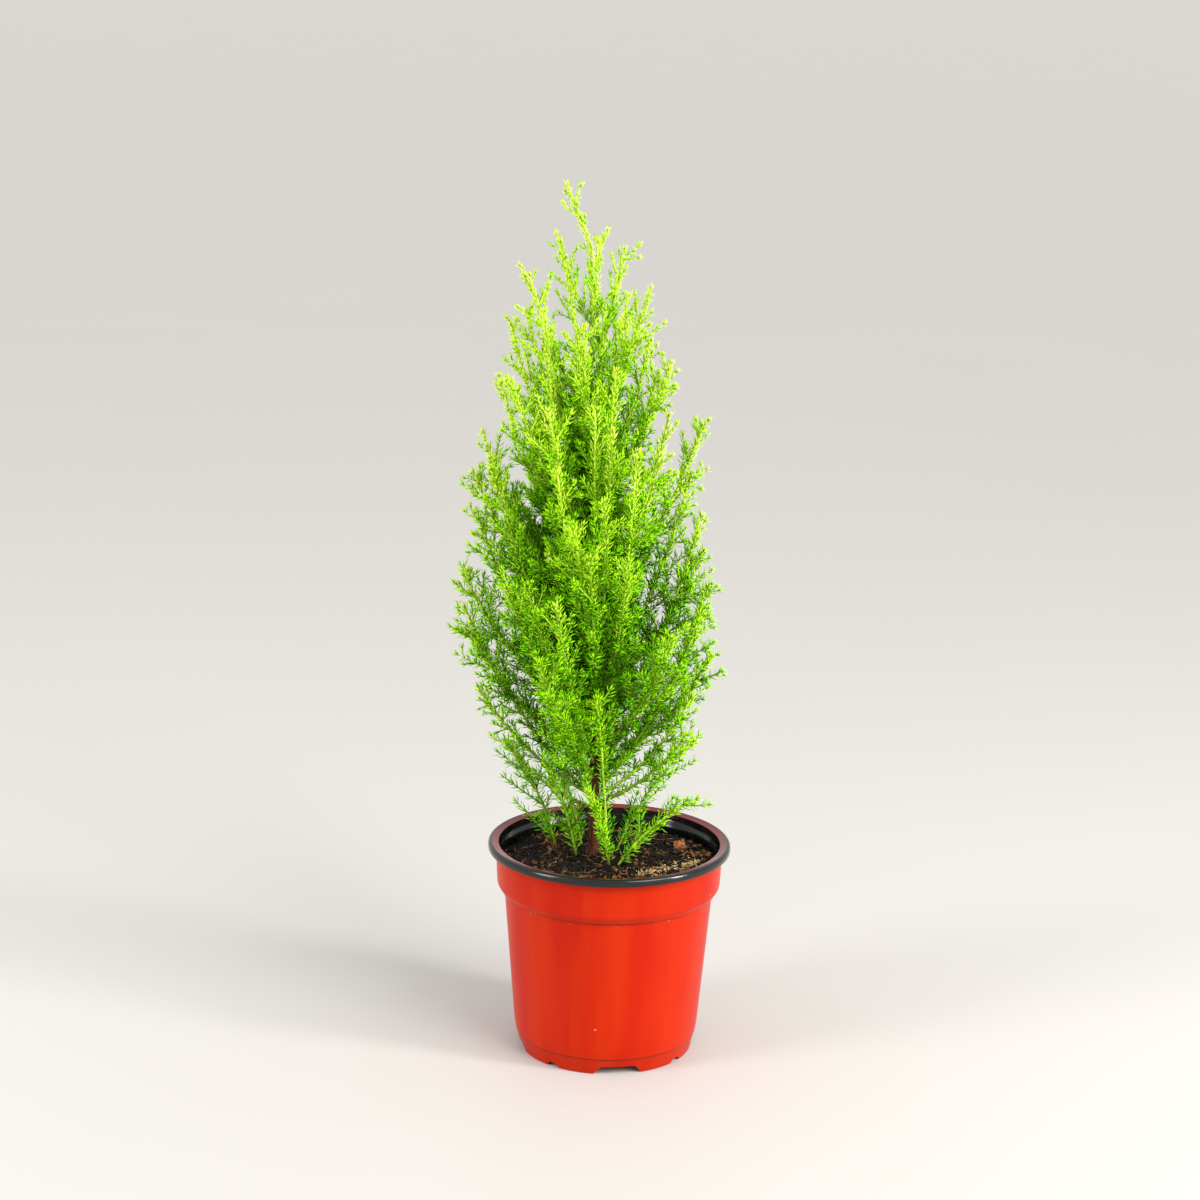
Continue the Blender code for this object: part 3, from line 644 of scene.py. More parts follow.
compost = compostLook()
makeCompost(compost)
makeCrumbs("compostCrumbs", soil["crumbs"], (0.0005, 0.0021), compost, 11)
brownCrumb = crumbLook("brownCrumb", (0.060, 0.020, 0.004), (0.32, 0.125, 0.030))
makeCrumbs("brownCrumbs", soil["brownCrumbs"], (0.0003, 0.0018), brownCrumb, 12, spots=clumpSpot)
makeCrumbs("whiteSpecks", soil["specks"], (0.0002, 0.0005), crumbLook("whiteSpeck", (0.5, 0.45, 0.38), (0.8, 0.76, 0.7)), 13)
fibreLook = crumbLook("fibre", (0.10, 0.045, 0.015), (0.33, 0.18, 0.06))
strawLook = crumbLook("straw", (0.30, 0.19, 0.06), (0.74, 0.58, 0.28))
makeFibres("soilFibres", soil["fibres"], (0.003, 0.011), (0.00009, 0.0002), fibreLook, 14)
makeFibres("strawClippings", soil["clippings"], (0.0012, 0.0042), (0.00014, 0.0003), strawLook, 15, clippingSpot, 0.9)
makeBarkChip(crumbLook("barkChipLook", (0.09, 0.028, 0.008), (0.32, 0.125, 0.040)))
print("soil: done")


# The plant's limbs, by the same rule as the solids

trunk = {
    "footX": -0.0085,
    "footY": 0.004,
    "top": 0.436,
    "lean": 0.0265,
    "leanForward": 0.006,
    "sway": 0.0012,
    "swaysPerMetre": 26.0,
    "leaderBend": 0.37,
    "leaderBendStart": 0.432,
    "footRadius": 0.0031,
    "tipRadius": 0.0005,
    "taper": 1.4,
    "flare": 0.0008,
    "flareHeight": 0.005,
}
crown = {
    "top": 0.457,
    "widest": 0.225,
    "foot": 0.130,
    "radius": 0.065,
    "shoulder": 0.55,
    "footShare": 0.62,
    "footRounding": 0.8,
    "seed": 41,
}
laterals = {
    "count": 19,
    "lowestTip": 0.168,
    "highestTip": 0.374,
    "lowestFork": 0.1205,
    "firstAngle": 200,
    "goldenAngle": 137.5,
    "angleSpread": 9,
    "tryTurns": (0, 9, -9, 18, -18, 27, -27, 36, -36),
    "clearance": 0.0012,
    "reachSpread": 0.06,
    "steepnessLow": 0.75,
    "steepnessHigh": 2.3,
    "controlOut": 0.58,
    "controlUp": 0.36,
    "steps": 7,
    "rootRadius": 0.0013,
    "tipRadius": 0.0004,
    "thinnestRoot": 0.45,
    "boughs": 16,
    "boughSteps": 2,
}

# where a lateral stands apart in the outline: its angle, its tip's height and its reach
markedLaterals = {
    "left_a": (152, 0.431, 0.0176),
    "left_b": (199, 0.415, 0.0326),
    "left_c": (150, 0.394, 0.039),
    "left_d": (212, 0.364, 0.046),
    "left_out": (182, 0.312, 0.059),
    "left_mid": (176, 0.256, 0.066),
    "right_a": (-75, 0.434, 0.0179),
    "right_b": (45, 0.427, 0.0236),
    "right_c": (-28, 0.407, 0.032),
    "right_d": (60, 0.388, 0.038),
    "right_e": (-10, 0.372, 0.041),
    "right_out": (4, 0.338, 0.058),
    "right_mid": (-6, 0.217, 0.062),
    "front": (-95, 0.393, 0.036),
}

# low shoots beside the trunk: the foot's x and y, then the tip's x, y and z
lowShoots = {
    "low_left": (-0.0289, 0.0114, -0.0555, -0.0040, 0.1700),
    "low_left_back": (-0.0150, 0.0141, -0.0400, 0.0420, 0.1720),
    "low_left_front": (-0.0177, -0.0028, -0.0340, -0.0180, 0.1620),
    "low_front": (0.0001, -0.0178, -0.0115, -0.0400, 0.1530),
    "low_right": (0.0052, -0.0177, 0.0435, -0.0220, 0.1450),
    "low_right_back": (0.0040, 0.0060, 0.0430, 0.0260, 0.1620),
    "low_centre": (-0.0010, -0.0070, -0.0080, -0.0480, 0.2050),
}
lowRadius = 0.0009
up = Vector((0, 0, 1))
golden = math.radians(laterals["goldenAngle"])


def trunkPoint(height):
    climb = height - soil["level"]
    bend = max(height - trunk["leaderBendStart"], 0.0)
    sway = trunk["sway"] * math.sin(climb * trunk["swaysPerMetre"])
    x = trunk["footX"] - trunk["lean"] * climb - trunk["leaderBend"] * bend + sway
    y = trunk["footY"] - trunk["leanForward"] * climb + sway / 2
    return Vector((x, y, height))


def trunkRadius(height):
    share = (height - soil["level"]) / (trunk["top"] - soil["level"])
    body = trunk["footRadius"] - trunk["tipRadius"]
    return trunk["tipRadius"] + body * max(1.0 - share, 0.0) ** trunk["taper"]


def crownRadius(height):
    if height >= crown["widest"]:
        share = (height - crown["widest"]) / (crown["top"] - crown["widest"])
        return crown["radius"] * max(1.0 - share, 0.0) ** crown["shoulder"]
    share = min((crown["widest"] - height) / (crown["widest"] - crown["foot"]), 1.0)
    return crown["radius"] * (1.0 - (1.0 - crown["footShare"]) * share ** crown["footRounding"])


def steepness(tipHeight):
    share = (tipHeight - laterals["lowestTip"]) / (crown["top"] - laterals["lowestTip"])
    return laterals["steepnessLow"] + (laterals["steepnessHigh"] - laterals["steepnessLow"]) * share


def curvePoints(foot, control, tip, steps, start=0.0):
    shares = [start + (1 - start) * k / steps for k in range(steps + 1)]
    return [foot * (1 - t) ** 2 + control * 2 * t * (1 - t) + tip * t**2 for t in shares]


def limbRadii(rootRadius, steps):
    return [rootRadius + (laterals["tipRadius"] - rootRadius) * (k / steps) for k in range(steps + 1)]


def standOff(heading, away, radius):
    return gap + radius * math.sin(heading.angle(away))


def lateralLimb(angle, tipHeight, reach):
    footHeight = max(tipHeight - reach * steepness(tipHeight), laterals["lowestFork"])
    return climbingLimb(angle, footHeight, tipHeight, reach)


def climbingLimb(angle, footHeight, tipHeight, reach):
    # leaves the trunk outwards at one height and bends up to its tip at another
    out = Vector((math.cos(angle), math.sin(angle), 0.0))
    thickness = trunkRadius(footHeight) / trunk["footRadius"]
    rootRadius = laterals["rootRadius"] * (laterals["thinnestRoot"] + (1 - laterals["thinnestRoot"]) * thickness)
    heading = out * laterals["controlOut"] * reach + up * laterals["controlUp"] * (tipHeight - footHeight)
    away = trunkRadius(footHeight) + standOff(heading, out, rootRadius)
    foot = trunkPoint(footHeight) + out * away
    tip = trunkPoint(tipHeight) + out * reach
    return foot, foot + heading, tip, rootRadius


def lowShootLimb(footX, footY, tipX, tipY, tipZ):
    foot = Vector((footX, footY, soil["level"]))
    tip = Vector((tipX, tipY, tipZ))
    rise = tip - foot
    heading = Vector((0.35 * rise.x, 0.35 * rise.y, 0.6 * rise.z))
    foot += up * standOff(heading, up, lowRadius)
    return foot, foot + heading, tip, lowRadius


def leaderLimb():
    foot = trunkPoint(trunk["top"])
    heading = (foot - trunkPoint(trunk["leaderBendStart"])).normalized()
    tip = foot + heading * (crown["top"] - trunk["top"])
    return foot + heading * gap, foot.lerp(tip, 0.5), tip, trunk["tipRadius"]


def limbRings(limb):
    # the points and radii of a limb at its few even steps
    steps = 3 if limb[3] == trunk["tipRadius"] else laterals["steps"]
    return curvePoints(*limb[:3], steps), limbRadii(limb[3], steps)


def probePoints(first, last, step=0.0015):
    count = max(int((last - first).length / step), 2)
    return [first.lerp(last, k / count) for k in range(count + 1)]


class Limbs:
    # limbs as straight stretches, each with a radius and the number of the limb that it is part of
    def __init__(self, limbs):
        starts, ends, radii, owners = [], [], [], []
        for owner, (points, widths) in enumerate(limbs):
            starts += points[:-1]
            ends += points[1:]
            radii += [max(pair) for pair in zip(widths, widths[1:])]
            owners += [owner] * (len(points) - 1)
        self.starts = np.array(starts)
        self.along = np.array(ends) - self.starts
        self.squares = (self.along**2).sum(axis=1)
        self.radii = np.array(radii)
        self.owners = np.array(owners)

    def distances(self, spots):
        # from each spot to the middle of each stretch
        away = np.array(spots)[:, None] - self.starts
        share = np.clip((away * self.along).sum(axis=2) / self.squares, 0, 1)
        return np.linalg.norm(away - share[:, :, None] * self.along, axis=2)

    def clearance(self, limb):
        room = []
        for first, last, radius in zip(limb[0], limb[0][1:], limb[1]):
            room.append((self.distances(probePoints(first, last)) - self.radii).min() - radius)
        return min(room)

    def firstClear(self, tries):
        for limb in tries:
            if self.clearance(limbRings(limb)) > laterals["clearance"]:
                return limb
        return max(tries, key=lambda limb: self.clearance(limbRings(limb)))


def allLimbs():
    # every limb by name, from the lowest tip to the highest
    picks = random.Random(crown["seed"])
    limbs = {}
    for name, (angle, height, reach) in markedLaterals.items():
        limbs[name] = lateralLimb(math.radians(angle), height, reach)
    for name, places in lowShoots.items():
        limbs[name] = lowShootLimb(*places)
    limbs["leader"] = leaderLimb()
    spread = math.radians(laterals["angleSpread"])
    for k in range(laterals["count"]):
        share = k / (laterals["count"] - 1)
        height = laterals["lowestTip"] + (laterals["highestTip"] - laterals["lowestTip"]) * share
        angle = math.radians(laterals["firstAngle"]) + k * golden + picks.uniform(-spread, spread)
        reach = crownRadius(height) * (1.0 + picks.uniform(-laterals["reachSpread"], laterals["reachSpread"]))
        tries = [lateralLimb(angle + math.radians(aside), height, reach) for aside in laterals["tryTurns"]]
        limbs["crown_%02d" % (k + 1)] = Limbs([limbRings(limb) for limb in limbs.values()]).firstClear(tries)
    return dict(sorted(limbs.items(), key=lambda item: item[1][2].z))


risers = {
    "count": 53,
    "lowestFoot": 0.138,
    "highestFoot": 0.335,
    "climb": (0.120, 0.060),
    "highestTip": 0.428,
    "tipShare": (0.12, 0.93),
    "stride": 0.618,
    "firstAngle": 65,
    "angleSpread": 20,
}

# plumes that stand out at the front: the foot's height, then the tip's x, y and z
plumes = {
    "tall_left": (0.205, -0.0300, -0.0400, 0.3200),
    "high_left": (0.262, -0.0392, -0.0220, 0.3965),
    "tall_middle": (0.236, -0.0120, -0.0350, 0.3520),
    "high_right": (0.275, -0.0019, -0.0300, 0.3711),
    "tall_right": (0.190, 0.0096, -0.0380, 0.3314),
    "far_left": (0.185, -0.0650, -0.0150, 0.3224),
    "low_left": (0.150, -0.0373, -0.0500, 0.2246),
    "far_right": (0.150, 0.0439, -0.0200, 0.2442),
    "low_right": (0.140, 0.0405, -0.0200, 0.1995),
    "low_far_left": (0.140, -0.0698, -0.0100, 0.1996),
    "middle": (0.178, -0.0129, -0.0520, 0.2793),
    "left_middle": (0.158, -0.0295, -0.0550, 0.2548),
    "left_outer": (0.166, -0.0447, -0.0420, 0.2617),
    "right_middle": (0.186, 0.0060, -0.0500, 0.2776),
    "left_edge": (0.172, -0.0723, 0.0000, 0.2914),
    "left_upper": (0.228, -0.0695, 0.0000, 0.3333),
    "left_shoulder": (0.262, -0.0614, -0.0050, 0.3634),
    "left_high": (0.296, -0.0557, 0.0000, 0.3886),
    "left_low": (0.140, -0.0787, 0.0100, 0.2379),
    "right_low": (0.145, 0.0478, 0.0000, 0.2540),
    "right_edge": (0.178, 0.0436, 0.0000, 0.2914),
    "right_upper": (0.205, 0.0378, 0.0050, 0.3126),
    "right_shoulder": (0.240, 0.0252, -0.0150, 0.3463),
    "right_high": (0.305, 0.0152, 0.0000, 0.3825),
    "top_right": (0.340, 0.0034, -0.0100, 0.4066),
    "top_left": (0.366, -0.0285, -0.0050, 0.4246),
    "centre_high": (0.232, -0.0030, -0.0380, 0.3420),
    "centre": (0.196, -0.0060, -0.0480, 0.3080),
}


def plumeLimb(footHeight, x, y, z):
    away = Vector((x, y, z)) - trunkPoint(z)
    return climbingLimb(math.atan2(away.y, away.x), footHeight, z, away.length)


def allRisers(limbs):
    # steep inner limbs that fill the crown round the trunk, between the laterals
    picks = random.Random(crown["seed"] + 1)
    grown = {"plume_" + name: plumeLimb(*places) for name, places in plumes.items()}
    for k in range(risers["count"]):
        share = k / (risers["count"] - 1)
        footHeight = risers["lowestFoot"] + (risers["highestFoot"] - risers["lowestFoot"]) * share
        out = (k * risers["stride"]) % 1
        climb = risers["climb"][0] + (risers["climb"][1] - risers["climb"][0]) * out
        tipHeight = footHeight + climb * picks.uniform(0.75, 1.1) * (1 - 0.35 * share)
        tipHeight = min(tipHeight, risers["highestTip"])
        angle = math.radians(risers["firstAngle"] + picks.uniform(-1, 1) * risers["angleSpread"]) + k * golden
        reach = risers["tipShare"][0] + (risers["tipShare"][1] - risers["tipShare"][0]) * out
        reach *= crownRadius(tipHeight)
        turns = [math.radians(aside) for aside in laterals["tryTurns"]]
        tries = [climbingLimb(angle + aside, footHeight, tipHeight, reach) for aside in turns]
        others = [limbRings(limb) for limb in [*limbs.values(), *grown.values()]]
        grown["riser_%02d" % (k + 1)] = Limbs(others).firstClear(tries)
    return grown


# Bark: the trunk and the bare boughs as ridged, flaking tubes

def limbFrames(points):
    directions = [(after - before).normalized() for before, after in zip(points, points[1:])]
    directions.append(directions[-1])
    turn = directions[0].to_track_quat("Z", "Y")
    frames = []
    for index, point in enumerate(points):
        heading = (directions[max(index - 1, 0)] + directions[index]).normalized()
        turn = (turn @ up).rotation_difference(heading) @ turn
        frames.append(Matrix.Translation(point) @ turn.to_matrix().to_4x4())
    return frames


def addLimb(shape, points, radii, sides, relief):
    # extrudes a circle from point to point, then lifts and sinks its skin into flakes
    frames = limbFrames(points)
    made = bmesh.ops.create_circle(shape, cap_ends=True, radius=radii[0], segments=sides, matrix=frames[0])
    skin = made["verts"][:]
    front = [face for face in shape.faces if face.verts[0] in made["verts"]]
    for index in range(1, len(points)):
        extruded = bmesh.ops.extrude_face_region(shape, geom=front)["geom"]
        if index > 1:
            bmesh.ops.delete(shape, geom=front, context="FACES_ONLY")
        front = [part for part in extruded if isinstance(part, bmesh.types.BMFace)]
        moved = [part for part in extruded if isinstance(part, bmesh.types.BMVert)]
        growth = Matrix.Scale(radii[index] / radii[index - 1], 4)
        bmesh.ops.transform(shape, matrix=frames[index] @ growth @ frames[index - 1].inverted(), verts=moved)
        skin += moved
    axes = [np.array(point) for point in points]
    rings = [skin[k * sides : (k + 1) * sides] for k in range(len(points))]
    for ring, axis, radius in zip(rings, axes, radii):
        for corner in ring:
            out = (corner.co - Vector(axis)).normalized()
            fissures = noise.fractal(Vector((out.x * 2.6, out.y * 2.6, corner.co.z * 210)), 0.8, 2.2, 4)
            plates = noise.noise(Vector((corner.co.x * 900, corner.co.y * 900, corner.co.z * 260)))
            corner.co += out * radius * relief * (0.65 * fissures + 0.45 * plates)
    return skin


def barkLook():
    # flaking red-brown bark, which gives way to green wood high up
    look = {"greenFrom": 0.265, "greenTo": 0.335}
    shades = Shades("bark", {"Specular IOR Level": 0.3})
    strips = shades.grain(850, detail=4, roughness=0.65, stretch=(1, 1, 0.22))
    flecks = shades.grain(1500, detail=2, stretch=(1, 1, 0.4), shift=(2, 5, 1))
    brown = shades.blend(shades.step(strips, 0.36, 0.64), (0.022, 0.005, 0.002), (0.13, 0.037, 0.009))
    brown = shades.blend(0.6 * shades.step(flecks, 0.60, 0.70), brown, (0.42, 0.16, 0.045))
    green = shades.blend(shades.step(strips, 0.36, 0.64), (0.20, 0.30, 0.02), (0.48, 0.58, 0.07))
    climb = shades.step(shades.height() + 0.02 * strips, look["greenFrom"], look["greenTo"])
    shades.feed(colour=shades.blend(climb, brown, green), roughness=0.72 + 0.2 * strips)
    shades.bump(strips + 0.5 * flecks, 0.0004, 0.9)
    return shades


def boughLook():
    # brown at the trunk and green outwards
    look = {"brownTo": 0.007, "greenFrom": 0.024}
    shades = Shades("boughBark", {"Specular IOR Level": 0.3})
    strips = shades.grain(900, detail=4, roughness=0.6, stretch=(1, 1, 0.4))
    brown = shades.blend(shades.step(strips, 0.36, 0.64), (0.070, 0.020, 0.006), (0.20, 0.085, 0.022))
    green = shades.blend(shades.step(strips, 0.36, 0.64), (0.16, 0.24, 0.015), (0.34, 0.42, 0.04))
    climb = shades.height() - soil["level"]
    aside = shades.along("X") - trunk["footX"] + trunk["lean"] * climb
    forward = shades.along("Y") - trunk["footY"] + trunk["leanForward"] * climb
    away = (aside * aside + forward * forward) ** 0.5
    out = shades.step(away + 0.006 * strips, look["brownTo"], look["greenFrom"])
    shades.feed(colour=shades.blend(out, brown, green), roughness=0.65 + 0.2 * strips)
    shades.bump(strips, 0.0003, 0.8)
    return shades


def makeTrunk():
    bark = {"sides": 18, "ringStep": 0.0011, "relief": 0.24, "lobes": 3, "lobeDepth": 0.35, "sunk": 0.0015}
    shape = bmesh.new()
    foot = soil["level"] - bark["sunk"]
    count = int((trunk["top"] - foot) / bark["ringStep"])
    heights = [foot + (trunk["top"] - foot) * k / count for k in range(count + 1)]
    points = [trunkPoint(max(height, soil["level"])) for height in heights]
    for point, height in zip(points, heights):
        point.z = height
    skin = addLimb(shape, points, [trunkRadius(max(h, soil["level"])) for h in heights], bark["sides"], bark["relief"])
    for corner in skin:
        climb = max(corner.co.z - soil["level"], 0)
        axis = trunkPoint(max(corner.co.z, soil["level"]))
        out = Vector((corner.co.x - axis.x, corner.co.y - axis.y, 0.0))
        lobe = 1.0 + bark["lobeDepth"] * math.sin(bark["lobes"] * math.atan2(out.y, out.x))
        corner.co += out.normalized() * trunk["flare"] * lobe * math.exp(-climb / trunk["flareHeight"])
    bmesh.ops.recalc_face_normals(shape, faces=shape.faces[:])
    return dress(pieceFrom(shape, "barkedTrunk", barkLook()), ["trunk"])


def makeBoughs(boughs):
    bark = {"sides": 9, "rings": 22, "relief": 0.10}
    shape = bmesh.new()
    for foot, control, tip, radius in boughs:
        whole = laterals["boughSteps"] / laterals["steps"]
        shares = [whole * k / bark["rings"] for k in range(bark["rings"] + 1)]
        points = [foot * (1 - t) ** 2 + control * 2 * t * (1 - t) + tip * t**2 for t in shares]
        points[0] += (points[0] - points[1]).normalized() * radius  # sunk into the trunk's skin
        radii = [radius + (laterals["tipRadius"] - radius) * t for t in shares]
        addLimb(shape, points, radii, bark["sides"], bark["relief"])
    bmesh.ops.recalc_face_normals(shape, faces=shape.faces[:])
    names = [name for name in nodeNames if name.startswith("bough_")]
    return dress(pieceFrom(shape, "barkedBoughs", boughLook()), names)


limbs = allLimbs()
inner = allRisers(limbs)
stems = {}
boughs = {}
for name, limb in limbs.items():
    points, radii = limbRings(limb)
    if not name.startswith(("low", "leader")) and len(boughs) < laterals["boughs"]:
        cut = laterals["boughSteps"]
        boughs["mass_" + name] = limb
        points = [points[cut] + (points[cut + 1] - points[cut]).normalized() * gap] + points[cut + 1 :]
        radii = radii[cut:]
    stems["mass_" + name] = {"points": points, "radii": radii, "limb": limb}
makeTrunk()
makeBoughs(boughs.values())
print("bark: done")


# Foliage: each stem bears the solids' own shoots, finer ones between them, twigs on those, and needles on all

shoots = {
    "spacing": 0.0099,
    "fewest": 3,
    "most": 8,
    "first": 0.6,
    "fullStem": 0.075,
    "longest": 0.034,
    "shortest": 0.011,
    "lengthSpread": 0.15,
    "turnSpread": 0.25,
    "spreadAngle": math.radians(42),
    "rise": 0.2,
    "tries": (1.0, 0.8, 0.6),
    "tryTurn": math.radians(35),
    "radius": 0.0009,
    "stemTip": 0.0035,
}
finer = {
    "shootSpacing": (0.0058, 0.0108),
    "lowSpacing": 0.0100,
    "shootShare": (0.55, 1.05),
    "lowShare": (0.22, 0.58),
    "shootLength": (1.0, 0.80),
    "spreadAngle": (math.radians(43), math.radians(31)),
    "shootRadius": 0.00062,
    "sag": 0.12,
    "trespass": -0.012,
    "innerReach": 1.12,
    "outerReach": 0.004,
    "shortBelow": 0.204,
    "noneBelow": 0.138,
    "leastReach": 0.004,
    "insideBox": 0.0025,
    "leaderTip": 0.006,
    "thickness": 0.80,
    "lowThickness": 0.70,
    "tipRadius": 0.00052,
}
twigs = {
    "spacing": (0.0072, 0.0105),
    "from": 0.14,
    "share": (0.46, 0.26),
    "least": 0.0030,
    "longest": 0.0150,
    "shortest": (0.0050, 0.0055),
    "angle": math.radians(44),
    "radius": 0.00034,
}
needles = {
    "spacing": (0.0016, 0.0025, 0.0025),
    "around": 3,
    "length": (0.0050, 0.0040),
    "width": 0.00086,
    "thickness": 0.00040,
    "shoulder": 0.52,
    "angle": (52, 33),
    "angleSpread": 9,
    "lift": 0.10,
    "bareFoot": 0.04,
    "tuft": 3,
    "tuftAngle": 22,
    "tuftLength": 0.0042,
}
# the trunk's bare foot shows between the stems from the front and a little above: the room that twigs leave open
opening = {"left": -0.0150, "right": -0.0040, "back": 0.006, "low": 0.110, "high": 0.163, "slope": 0.30}
collar = {"from": 0.29, "to": 0.446, "spacing": 0.0090, "shortest": 0.006, "longest": 0.013}

# the low shoots that stay separate stems, thick with needles and without twigs
sparse = ["mass_" + name for name in lowShoots if name != "low_centre"]

# the shares of the crown's height between which the lower habit, each pair's first value, turns into the upper one
habitFrom = 0.42
habitTo = 0.86


def riseOf(height):
    return min(max((height - soil["level"]) / (crown["top"] - soil["level"]), 0.0), 1.0)


def byHeight(pair, height):
    share = min(max((riseOf(height) - habitFrom) / (habitTo - habitFrom), 0.0), 1.0)
    return pair[0] + (pair[1] - pair[0]) * share


def clearOfFoot(spots):
    # true where no twig hides the trunk's foot or leaves the solids' box
    across = (spots[:, 0] > opening["left"]) & (spots[:, 0] < opening["right"]) & (spots[:, 1] < opening["back"])
    seen = spots[:, 2] + opening["slope"] * spots[:, 1]
    level = (seen > opening["low"]) & (seen < opening["high"])
    low = np.array(cadBox[0]) + finer["insideBox"]
    high = np.array(cadBox[1]) - finer["insideBox"]
    return not (across & level).any() and ((spots > low) & (spots < high)).all()


def clearOfPot(spots, width):
    away = np.hypot(spots[:, 0], spots[:, 1])
    above = spots[:, 2] > pot["height"] + width + 0.001
    inside = (away < 0.048) & (spots[:, 2] > soil["level"] + width + 0.0012)
    return (above | inside).all()


class Space:
    # tells whether a twig keeps to the room that is nearer to its own stem than to any other
    def __init__(self, stems, boughs, trunkRings):
        self.names = list(stems)
        self.owners = self.names + list(boughs) + ["trunk"]
        rings = [(stem["points"], stem["radii"]) for stem in stems.values()]
        rings += [tuple(part[: laterals["boughSteps"] + 1] for part in limbRings(limb)) for limb in boughs.values()]
        self.limbs = Limbs(rings + [trunkRings])
        self.stemmed = self.limbs.owners < len(self.names)

    def holds(self, name, first, last, width):
        # the solids' own rule
        own = self.limbs.owners == self.names.index(name)
        spots = np.array(probePoints(first, last))
        away = self.limbs.distances(spots)
        if ((away[:, ~own] - self.limbs.radii[~own]) < width + 0.0004).any():
            return False
        if (away[:, ~own & self.stemmed].min(axis=1) - away[:, own].min(axis=1) < 2 * (width + 0.0002)).any():
            return False
        return clearOfPot(spots, width)

    def letsPass(self, name, first, last, width, trespass):
        # the same for the finer shoots and twigs, which may lean a little way into the next one's room
        mine = [owner == name for owner in self.owners]
        own = np.array(mine)[self.limbs.owners]
        spots = np.array(probePoints(first, last))
        if not clearOfFoot(spots):
            return False
        away = self.limbs.distances(spots)
        if ((away[:, ~own] - self.limbs.radii[~own]) < width + 0.0004).any():
            return False
        if name in self.names:
            nearest = away[:, ~own & self.stemmed].min(axis=1)
            if (nearest - away[:, own].min(axis=1) < 2 * (width + trespass)).any():
                return False
        else:
            middle = np.array([trunkPoint(z)[:2] for z in spots[:, 2]])
            room = np.array([crownRadius(z) for z in spots[:, 2]]) * finer["innerReach"] + finer["outerReach"]
            if (np.linalg.norm(spots[:, :2] - middle, axis=1) > room).any():
                return False
        return clearOfPot(spots, width)


def roundTheStem(heading, turn, spread):
    side = Matrix.Rotation(turn, 3, heading) @ heading.orthogonal().normalized()
    return (heading * math.cos(spread) + side * math.sin(spread)).normalized()


def pointAlong(points, distance):
    for first, second in zip(points, points[1:]):
        length = (second - first).length
        if distance <= length:
            return first.lerp(second, distance / length), (second - first).normalized()
        distance -= length
    return points[-1], (points[-1] - points[-2]).normalized()


def shootReach(share, longest):
    fullness = (1 - share) ** 0.8 * min(0.55 + 2.5 * share, 1.0)
    return shoots["shortest"] + (longest - shoots["shortest"]) * fullness


